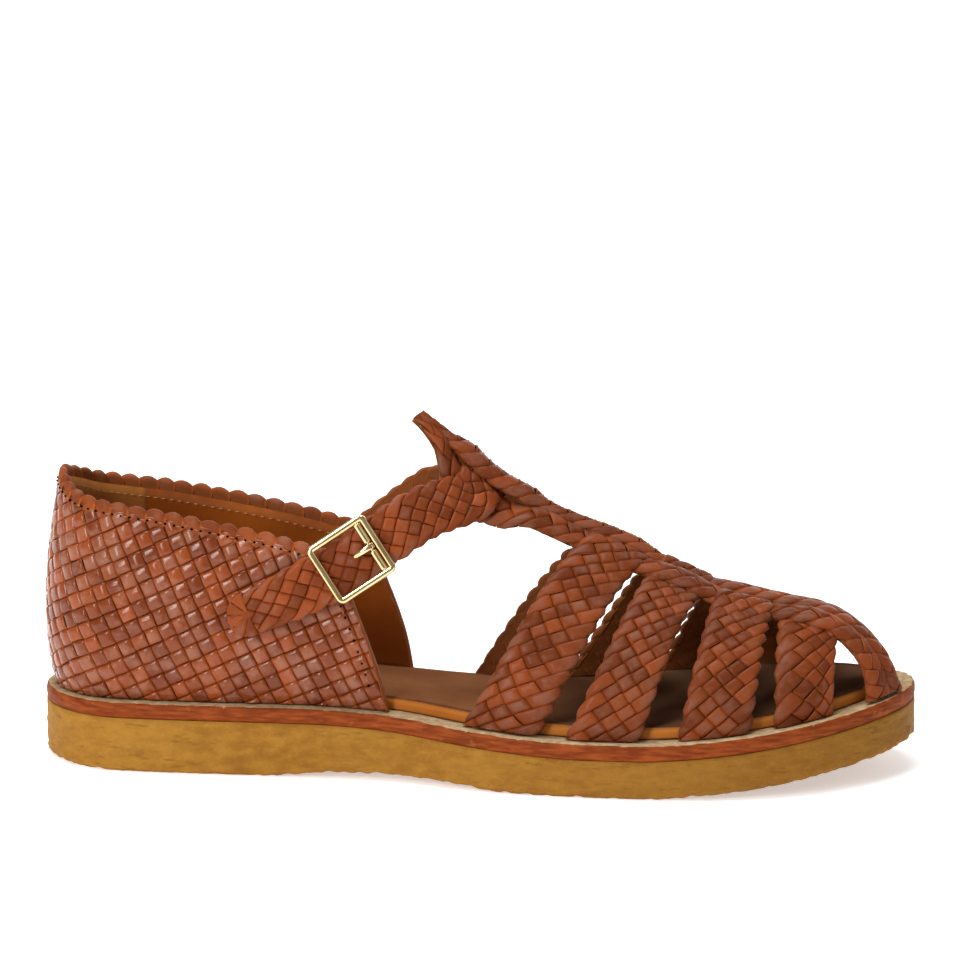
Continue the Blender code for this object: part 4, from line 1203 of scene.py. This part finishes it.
last = Last()
braided = strip_leather(
    "braided_strap_leather",
    0.14,
    (0.120, 0.025, 0.006), (0.236, 0.050, 0.012),
    (0.278, 0.055, 0.011), (0.200, 0.084, 0.052),
)
ridge_marks = np.linspace(0.0, len(LAST_SECTIONS) - 1, 12 * (len(LAST_SECTIONS) - 1) + 1)
ridge_lengths = lengths_along(np.array([last.point(mark, 0.0) for mark in ridge_marks]))
bm = strip_mesh()
for lane in LANE_PLACE:

    def lane_frame(length, e):
        section = np.interp(length, ridge_lengths, ridge_marks)
        across = last.across_at(section, lane_centre(lane, section) + e)
        outward = last.outward(section, across)
        return last.point(section, across) + outward * lane_offset(lane, section), outward

    def lane_width(length):
        section = np.interp(length, ridge_lengths, ridge_marks)
        spread = spine_spread(section)
        plain = LANE_PITCH * spread + LANE_OVERLAP * max(spread, TIP_OVERLAP)
        return plain + slit_wave(section, SLIT_OVERLAP)

    plait = Braid(lane_frame, ridge_lengths[-1], lane_width, 3, LANE_STEP, 0.55 * MM)
    plait.lay(bm, draw)
    plait.core(bm)
spine = strip_piece(bm, "spine_plaits", braided)
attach(spine, "root")
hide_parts("vamp")

bm = strip_mesh()
for name, section in STRAP_SECTIONS.items():
    strap_marks = np.linspace(-1.0, 1.0, 61)
    strap_lengths = lengths_along(np.array([last.point(section, mark) for mark in strap_marks]))
    middle = strap_lengths[len(strap_marks) // 2]
    number = list(STRAP_SECTIONS).index(name) + 1
    lanes = [place * LANE_PITCH for place in LANE_PLACE.values()]
    knots = [-CROSSING_REACH, *lanes, CROSSING_REACH]
    values = [0.0, *(-LANE_ORDER[lane][number] * STRAP_DIP for lane in LANE_PLACE), 0.0]

    def strap_frame(length, e):
        across = np.interp(length, strap_lengths, strap_marks)
        along, side_way = last.along_and_across(section, across)
        side_way = unit(side_way)
        spread = np.linalg.norm(along - side_way * (along @ side_way))
        at = section + e / spread
        outward = last.outward(at, across)
        return last.point(at, across) + outward * wave(length - middle, knots, values), outward

    def strap_width(length):
        across = abs(np.interp(length, strap_lengths, strap_marks))
        return STRAP_WIDTH * spline(STRAP_WIDTHS[name], 2 * across)

    flat_braid = Braid(strap_frame, strap_lengths[-1], strap_width, 6, STRAP_STEP, 0.25 * MM)
    flat_braid.lay(bm, draw)
    flat_braid.core(bm)
straps = strip_piece(bm, "cross_straps", braided)
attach(straps, "root")

# Ankle strap
# A six-strip flat braid, sewn to the inner quarter, drawn through the slit in the spine and
# fastened over the outer side. At both ends the strips are folded round to a soft rounded fan.
ANKLE_STRAP_WIDTH = 15.6 * MM
SLIT_PINCH = 0.08
STRIP_RISE = 0.3 * MM
ANKLE_TIP = 7 * MM
TIP_WIDTH = 0.80
TIP_TAPER = 20 * MM
TIP_RADIUS = 6.3 * MM
INNER_END_RADIUS = 1.2 * TIP_RADIUS
PETAL_PLACES = (-76, -38, 0, 38, 76)
PETAL_HALF = math.radians(20)
PETAL_EDGE = 0.40 * MM
ANKLE_OUTER = ((0.600, 0.395), (0.705, 0.478), (0.803, 0.572), (0.898, 0.672))
ANKLE_INNER = ((0.880, 0.600), (0.800, 0.515), (0.730, 0.440))
OUTER_BRIDGE = ((0.410, -0.285, 0.702, -72), (0.450, -0.210, 0.762, -54))
INNER_BRIDGE = ((0.458, 0.194, 0.766, 50), (0.414, 0.255, 0.690, 70))
ANKLE_SLIT = (
    (-1.60, 0.9), (-1.05, 1.1), (-0.65, 0.0), (-0.27, -1.5),
    (0.50, -1.5), (1.10, -2.0), (1.60, -2.4),
)


class AnklePath:
    """Centre line of the ankle strap with its outward directions."""

    def __init__(self):
        over = QUARTER_WALL / 2 + STRIP_RISE + CLEARANCE + BRAID_THICKNESS / 2
        rows = [self.on_wall(-1, along, height, over) for along, height in ANKLE_OUTER]
        slope = last.outward(ANKLE_SECTION, 0.0)
        rows += [self.on_bridge(row, slope) for row in OUTER_BRIDGE]
        depth = BRAID_THICKNESS + 0.5 * MM + CLEARANCE - SLIT_OFFSET
        for distance, order in ANKLE_SLIT:
            across = last.across_at(ANKLE_SECTION, distance * LANE_PITCH)
            outward = last.outward(ANKLE_SECTION, across)
            rows.append((last.point(ANKLE_SECTION, across) + outward * order * depth, outward))
        rows += [self.on_bridge(row, slope) for row in INNER_BRIDGE]
        rows += [self.on_wall(1, along, height, over) for along, height in ANKLE_INNER]
        table = np.array([[*point, *outward] for point, outward in rows])
        self.fine = fine_curve(table)
        self.lengths = lengths_along(self.fine[:, :3])
        slit_row = len(ANKLE_OUTER) + len(OUTER_BRIDGE) + len(ANKLE_SLIT) // 2
        self.slit = self.lengths[12 * slit_row]

    def on_wall(self, side, along, height, over):
        point, outward = wall.frame(side, along * QUARTER_LENGTH, height * QUARTER_HEIGHT)
        return point + outward * over, outward

    def on_bridge(self, row, slope):
        along, across, height, roll = row
        point = np.array(
            [(along - 0.5) * SOLE_LENGTH, across * BALL_WIDTH, height * TONGUE_HEIGHT]
        )
        turn = math.radians(roll)
        return point, unit(slope * math.cos(turn) + np.array([0.0, math.sin(turn), 0.0]))

    def frame(self, distance):
        """Middle point, direction along, direction across and outward direction."""
        row = read_line(distance, self.lengths, self.fine)
        ends = np.clip([distance - 1.5 * MM, distance + 1.5 * MM], 0.0, self.lengths[-1])
        low, high = read_line(ends, self.lengths, self.fine[:, :3])
        along = unit(high - low)
        outward = unit(row[3:])
        return row[:3], along, unit(np.cross(outward, along)), outward


path = AnklePath()


def ankle_frame(length, e):
    point, _, across, outward = path.frame(length)
    return point + across * e, outward


def ankle_width(length):
    share = min(length / ANKLE_TIP, (path.lengths[-1] - length) / ANKLE_TIP, 1.0)
    tapered = TIP_WIDTH + (1 - TIP_WIDTH) * smooth((length - ANKLE_TIP) / TIP_TAPER)
    pinched = 1 - SLIT_PINCH * smooth(1 - abs(length - path.slit) / (2 * LANE_PITCH))
    return ANKLE_STRAP_WIDTH * tapered * pinched * max(math.sqrt(1 - (1 - share) ** 2), 0.35)


ankle_leather = strip_leather(
    "ankle_strap_leather",
    0.14,
    (0.148, 0.031, 0.008), (0.290, 0.062, 0.015),
    (0.335, 0.065, 0.013), (0.225, 0.094, 0.058),
)
bm = strip_mesh()
ankle_braid = Braid(ankle_frame, path.lengths[-1], ankle_width, 6, STRAP_STEP, 0.15 * MM)
ankle_braid.lay(bm, draw)
ankle_braid.core(bm)
for end, radius in ((0, TIP_RADIUS), (1, INNER_END_RADIUS)):
    for degrees in PETAL_PLACES:
        tone = draw.random()
        ply = draw.uniform(0.30, 0.60) * MM

        def petal(u, v):
            q = 2 * v - 1
            angle = math.radians(degrees) + q * PETAL_HALF
            reach_out = radius * np.sin(np.minimum(u / 0.80, 1.0) * math.pi / 2)
            reach_out = reach_out * (1 + 0.06 * (1 - q**2))
            turn = smooth((u - 0.66) / 0.34) * 2.4
            off = (BRAID_THICKNESS / 2 + ply) * np.cos(turn) - PETAL_EDGE * np.abs(q) ** 5
            off = off - 0.35 * MM * smooth((0.20 - u) / 0.20)
            mark = np.maximum(radius * 1.06 - reach_out * np.cos(angle), 0.0)
            if end:
                mark = path.lengths[-1] - mark
            points = ankle_braid.surface.at(mark, reach_out * np.sin(angle), off)
            # Painted shade between neighbouring petals.
            painted_shade = 1.2 * smooth((np.abs(q) - 0.74) / 0.16)
            return points, painted_shade, 0.4 * smooth((turn - 1.6) / 0.4)

        strip_grid(bm, (10, 12), petal, tone)
ankle_strap = strip_piece(bm, "ankle_strap_braid", ankle_leather)
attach(ankle_strap, "root")
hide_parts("ankle_strap")

# Buckle
# A square frame of softly squared, polished pale brass wire, with a split roller near its
# instep bar. A short prong hangs on the roller's pin between the two halves.
BUCKLE_PLACE = 0.235
BUCKLE_LENGTH = 19.6 * MM
BUCKLE_WIDTH = 19.0 * MM
WIRE_DIAMETER = 1.8 * MM
ROLLER_DIAMETER = 2.2 * MM
ROLLER_SETBACK = 2.1 * MM
ROLLER_RAISED = 0.3 * MM
ROLLER_ROUND = 0.25 * MM
FRAME_SPREAD = 0.4 * MM
FRAME_CORNER = 1.1 * MM
WIRE_WIDTH = 2.0 * MM
WIRE_STEPS, ROLLER_STEPS = 20, 28
PRONG_WIDTH = 1.7 * MM
PRONG_LENGTH = 5.6 * MM
PRONG_LOOP = 0.55 * MM
PRONG_DIP = 0.9 * MM
PRONG_ROUND = 0.16 * MM

brass = Finish("polished_pale_brass")
wear = brass.speckle(90, detail=4)
hairlines = brass.speckle(700, stretch=(1, 6, 6), detail=2)
brass.shade({
    "Base Color": brass.mottled(wear, (0.780, 0.560, 0.240), (0.900, 0.720, 0.400)),
    "Metallic": 1.0,
    "Roughness": wear * 0.10 + hairlines * 0.06 + 0.06,
    "Normal": brass.bump(hairlines, 0.05, 0.0001),
})
at = BUCKLE_PLACE * path.lengths[-1]
back_point = path.frame(at - BUCKLE_LENGTH / 2)[0]
front_point = path.frame(at + BUCKLE_LENGTH / 2)[0]
buckle_out = path.frame(at)[3]
buckle_along = unit(front_point - back_point)
buckle_out = unit(buckle_out - buckle_along * (buckle_out @ buckle_along))
buckle_across = np.cross(buckle_out, buckle_along)
buckle_middle = (front_point + back_point) / 2
heights = []
for step in np.linspace(-BUCKLE_LENGTH / 2, BUCKLE_LENGTH / 2, 13):
    point, _, across, _ = path.frame(at + step)
    for e in (-ANKLE_STRAP_WIDTH / 2, 0.0, ANKLE_STRAP_WIDTH / 2):
        heights.append((point + across * e - buckle_middle) @ buckle_out)
lift = BRAID_THICKNESS / 2 + 0.25 * MM + CLEARANCE + WIRE_DIAMETER / 2
buckle_origin = buckle_middle + buckle_out * (max(heights) + lift)


def set_on_strap(bm, raised=0.0):
    """Takes a buckle part from its own plane to its place over the ankle strap."""
    bmesh.ops.recalc_face_normals(bm, faces=bm.faces)
    bmesh.ops.translate(bm, verts=bm.verts, vec=(0.0, 0.0, raised))
    for vert in bm.verts:
        x, y, z = vert.co
        vert.co = buckle_origin + buckle_along * x + buckle_across * y + buckle_out * z


def closed_tube(bm, rings, looped):
    """Joins rings of vertices into a closed tube, round again to the first or capped."""
    following = rings[1:] + rings[:1] if looped else rings[1:]
    for here, after in zip(rings, following):
        for k in range(len(here)):
            m = (k + 1) % len(here)
            bm.faces.new((here[k], here[m], after[m], after[k]))
    if not looped:
        bm.faces.new(rings[0])
        bm.faces.new(rings[-1])


def soft_square(turn):
    """The rounded section of the wire, from -1 to 1 both ways."""
    wide, tall = math.cos(turn), math.sin(turn)
    return math.copysign(abs(wide) ** 0.62, wide), math.copysign(abs(tall) ** 0.62, tall)


bm = bmesh.new()
half_x = BUCKLE_LENGTH / 2 + FRAME_SPREAD - WIRE_WIDTH / 2 - FRAME_CORNER
half_y = BUCKLE_WIDTH / 2 + FRAME_SPREAD - WIRE_WIDTH / 2 - FRAME_CORNER
rings = []
for number in range(4):
    for degrees in range(0, 91, 10):
        turn = math.radians(90 * number + degrees)
        way = np.array([math.cos(turn), math.sin(turn), 0.0])
        middle_turn = math.radians(90 * number + 45)
        corner_x = math.copysign(half_x, math.cos(middle_turn))
        corner_y = math.copysign(half_y, math.sin(middle_turn))
        centre = np.array([corner_x, corner_y, 0.0]) + way * FRAME_CORNER
        ring = []
        for k in range(WIRE_STEPS):
            wide, tall = soft_square(2 * math.pi * (k + 0.5) / WIRE_STEPS)
            spot = centre + way * wide * WIRE_WIDTH / 2
            ring.append(bm.verts.new((spot[0], spot[1], tall * WIRE_DIAMETER / 2)))
        rings.append(ring)
closed_tube(bm, rings, True)
set_on_strap(bm)
buckle_frame = piece_from(bm, "buckle_square_frame", brass)
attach(buckle_frame, "root")
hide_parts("buckle_frame")

axis = (BUCKLE_LENGTH - WIRE_DIAMETER) / 2 - ROLLER_SETBACK
roller_reach = (BUCKLE_WIDTH - WIRE_DIAMETER) / 2 - WIRE_DIAMETER / 2 + 0.1 * MM
waist = PRONG_WIDTH / 2 + 2 * CLEARANCE
bm = bmesh.new()
QUARTER_TURN = [math.radians(degrees) for degrees in (0, 22, 45, 68, 90)]


def turned_bar(low, high, radius, edge):
    """A bar turned round with rounded ends, lying across the buckle on the roller's axis."""
    rounded = [(edge * (1 - math.cos(a)), radius - edge * (1 - math.sin(a))) for a in QUARTER_TURN]
    rows = [(low + run, size) for run, size in rounded] + [(low + 2 * edge, radius)]
    rows += [(high - 2 * edge, radius)] + [(high - run, size) for run, size in reversed(rounded)]
    rings = []
    for place, size in rows:
        ring = []
        for k in range(ROLLER_STEPS):
            turn = 2 * math.pi * k / ROLLER_STEPS
            ring.append(bm.verts.new((axis + size * math.cos(turn), place, size * math.sin(turn))))
        rings.append(ring)
    closed_tube(bm, rings, False)


turned_bar(-roller_reach, -waist, ROLLER_DIAMETER / 2, ROLLER_ROUND)
turned_bar(waist, roller_reach, ROLLER_DIAMETER / 2, ROLLER_ROUND)
pin_reach = roller_reach + CLEARANCE
turned_bar(-pin_reach, pin_reach, 0.22 * ROLLER_DIAMETER, 0.05 * MM)
set_on_strap(bm, ROLLER_RAISED)
roller = piece_from(bm, "buckle_split_roller", brass)
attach(roller, "root")
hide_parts("buckle_roller")

bm = bmesh.new()
core = 0.45 * ROLLER_DIAMETER / 2
inner = core + CLEARANCE * 0.7
outer = inner + PRONG_LOOP
loop = []


def prong_ring(inside, outside, width):
    """One section of the prong, between two points of its side view."""
    corners = ((inside, -1), (inside, 1), (outside, 1), (outside, -1))
    loop.append([bm.verts.new((x, way * width / 2, z)) for (x, z), way in corners])


for degrees in range(-200, 91, 15):
    cosine, sine = math.cos(math.radians(degrees)), math.sin(math.radians(degrees))
    near, far = ((axis + size * cosine, size * sine) for size in (inner, outer))
    prong_ring(near, far, PRONG_WIDTH)
dip = PRONG_DIP - WIRE_DIAMETER / 2
# Along the blade from the loop to the tip: place, underside, top and width.
for x, low, high, width in (
    (axis - 1.4 * MM, inner * 0.72, outer, PRONG_WIDTH * 0.96),
    (axis - 3.0 * MM, inner * 0.45, outer * 0.85, PRONG_WIDTH * 0.86),
    (axis - 5.0 * MM, dip + 0.05 * MM, outer * 0.60, PRONG_WIDTH * 0.74),
    (axis - PRONG_LENGTH + 0.4 * MM, dip, dip + 0.65 * MM, PRONG_WIDTH * 0.58),
    (axis - PRONG_LENGTH - 0.2 * MM, dip + 0.12 * MM, dip + 0.45 * MM, PRONG_WIDTH * 0.36),
):
    prong_ring((x, low), (x, high), width)
closed_tube(bm, loop, False)
bmesh.ops.recalc_face_normals(bm, faces=bm.faces)
corners = [e for e in bm.edges if e.calc_face_angle(0.0) > 1.0]
bmesh.ops.bevel(
    bm, geom=corners, offset=PRONG_ROUND, segments=2, profile=0.5, affect="EDGES", material=-1
)
set_on_strap(bm, ROLLER_RAISED)
prong = piece_from(bm, "buckle_short_prong", brass)
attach(prong, "root")
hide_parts("buckle_prong")

# Floor, light and camera
# A plain white sweep with soft daylight from above and from behind the camera.
# The camera stands where the photograph was taken from, with a long lens.
backdrop = Finish("white_sweep")
backdrop.shade({
    "Base Color": backdrop.blend(backdrop.speckle(3), (0.90, 0.90, 0.90), (0.92, 0.92, 0.92)),
    "Roughness": 0.8,
    "Specular IOR Level": 0.2,
    "Emission Color": (1.0, 1.0, 1.0, 1.0),
    "Emission Strength": 0.45,
})
FLOOR_WIDTH, FLOOR_RUN, FLOOR_START = 8, 7.5, -2.5
SWEEP_START, SWEEP_RADIUS = 2.0, 1.2
bm = bmesh.new()
bmesh.ops.create_grid(bm, x_segments=12, y_segments=48, size=0.5)
for vert in bm.verts:
    x = vert.co.x * FLOOR_WIDTH
    run = (vert.co.y + 0.5) * FLOOR_RUN + FLOOR_START
    bend = max(run - SWEEP_START, 0.0)
    turn = min(bend / SWEEP_RADIUS, math.pi / 2)
    rise = SWEEP_RADIUS * (1 - math.cos(turn)) + max(bend - SWEEP_RADIUS * math.pi / 2, 0.0)
    forward = min(run, SWEEP_START) + SWEEP_RADIUS * math.sin(turn)
    vert.co = (x, forward, rise - 0.05 * MM)
bmesh.ops.recalc_face_normals(bm, faces=bm.faces)
floor = mesh_object(bm, "floor_sweep", backdrop)


def soft_light(name, place, target, size, power):
    lamp = bpy.data.lights.new(name, "AREA")
    lamp.shape = "RECTANGLE"
    lamp.size, lamp.size_y = size
    lamp.energy = power
    made = scene_object(name, lamp)
    made.location = place
    made.rotation_euler = (Vector(target) - Vector(place)).to_track_quat("-Z", "Y").to_euler()


soft_light("overhead_softbox", (-0.15, 0.1, 1.5), (0.0, 0.0, 0.0), (1.1, 0.9), 19)
soft_light("heel_side_softbox", (-0.75, -1.25, 0.95), (-0.06, 0.0, 0.05), (0.42, 0.42), 10)
soft_light("heel_glaze_softbox", (-0.68, -1.3, 0.46), (-0.07, 0.0, 0.05), (0.26, 0.40), 4.5)
soft_light("sweep_softbox", (0.0, 1.9, 1.9), (0.0, 4.2, 0.3), (2.4, 1.2), 60)
soft_light("toe_side_softbox", (1.2, -0.9, 0.9), (0.03, 0.0, 0.04), (0.8, 0.8), 1.5)
world = bpy.data.worlds.new("white_room")
world.use_nodes = True
world.node_tree.nodes["Background"].inputs["Color"].default_value = (1.0, 1.0, 1.0, 1.0)
world.node_tree.nodes["Background"].inputs["Strength"].default_value = 0.22
bpy.context.scene.world = world
bpy.context.scene.view_settings.view_transform = "Standard"

VIEW_TURN = math.radians(6.6)
VIEW_HEIGHT = math.radians(12.5)
VIEW_DISTANCE = 1.6
LENS_LENGTH = 199.8
right = Vector((math.cos(VIEW_TURN), math.sin(VIEW_TURN), 0.0))
back = Vector(
    (
        math.sin(VIEW_TURN) * math.cos(VIEW_HEIGHT),
        -math.cos(VIEW_TURN) * math.cos(VIEW_HEIGHT),
        math.sin(VIEW_HEIGHT),
    )
)
up = back.cross(right)
middle_of_shoe = Vector((0.0, -1.7 * MM, 40 * MM))
eye = middle_of_shoe + back * VIEW_DISTANCE
aim = middle_of_shoe + up * 44.1 * MM + right * 0.9 * MM
lens = bpy.data.cameras.new("photo_view")
lens.sensor_width = 36.0
lens.lens = LENS_LENGTH
camera = scene_object("photo_view", lens)
camera.location = eye
camera.rotation_euler = (aim - eye).to_track_quat("-Z", "Y").to_euler()
bpy.context.scene.camera = camera
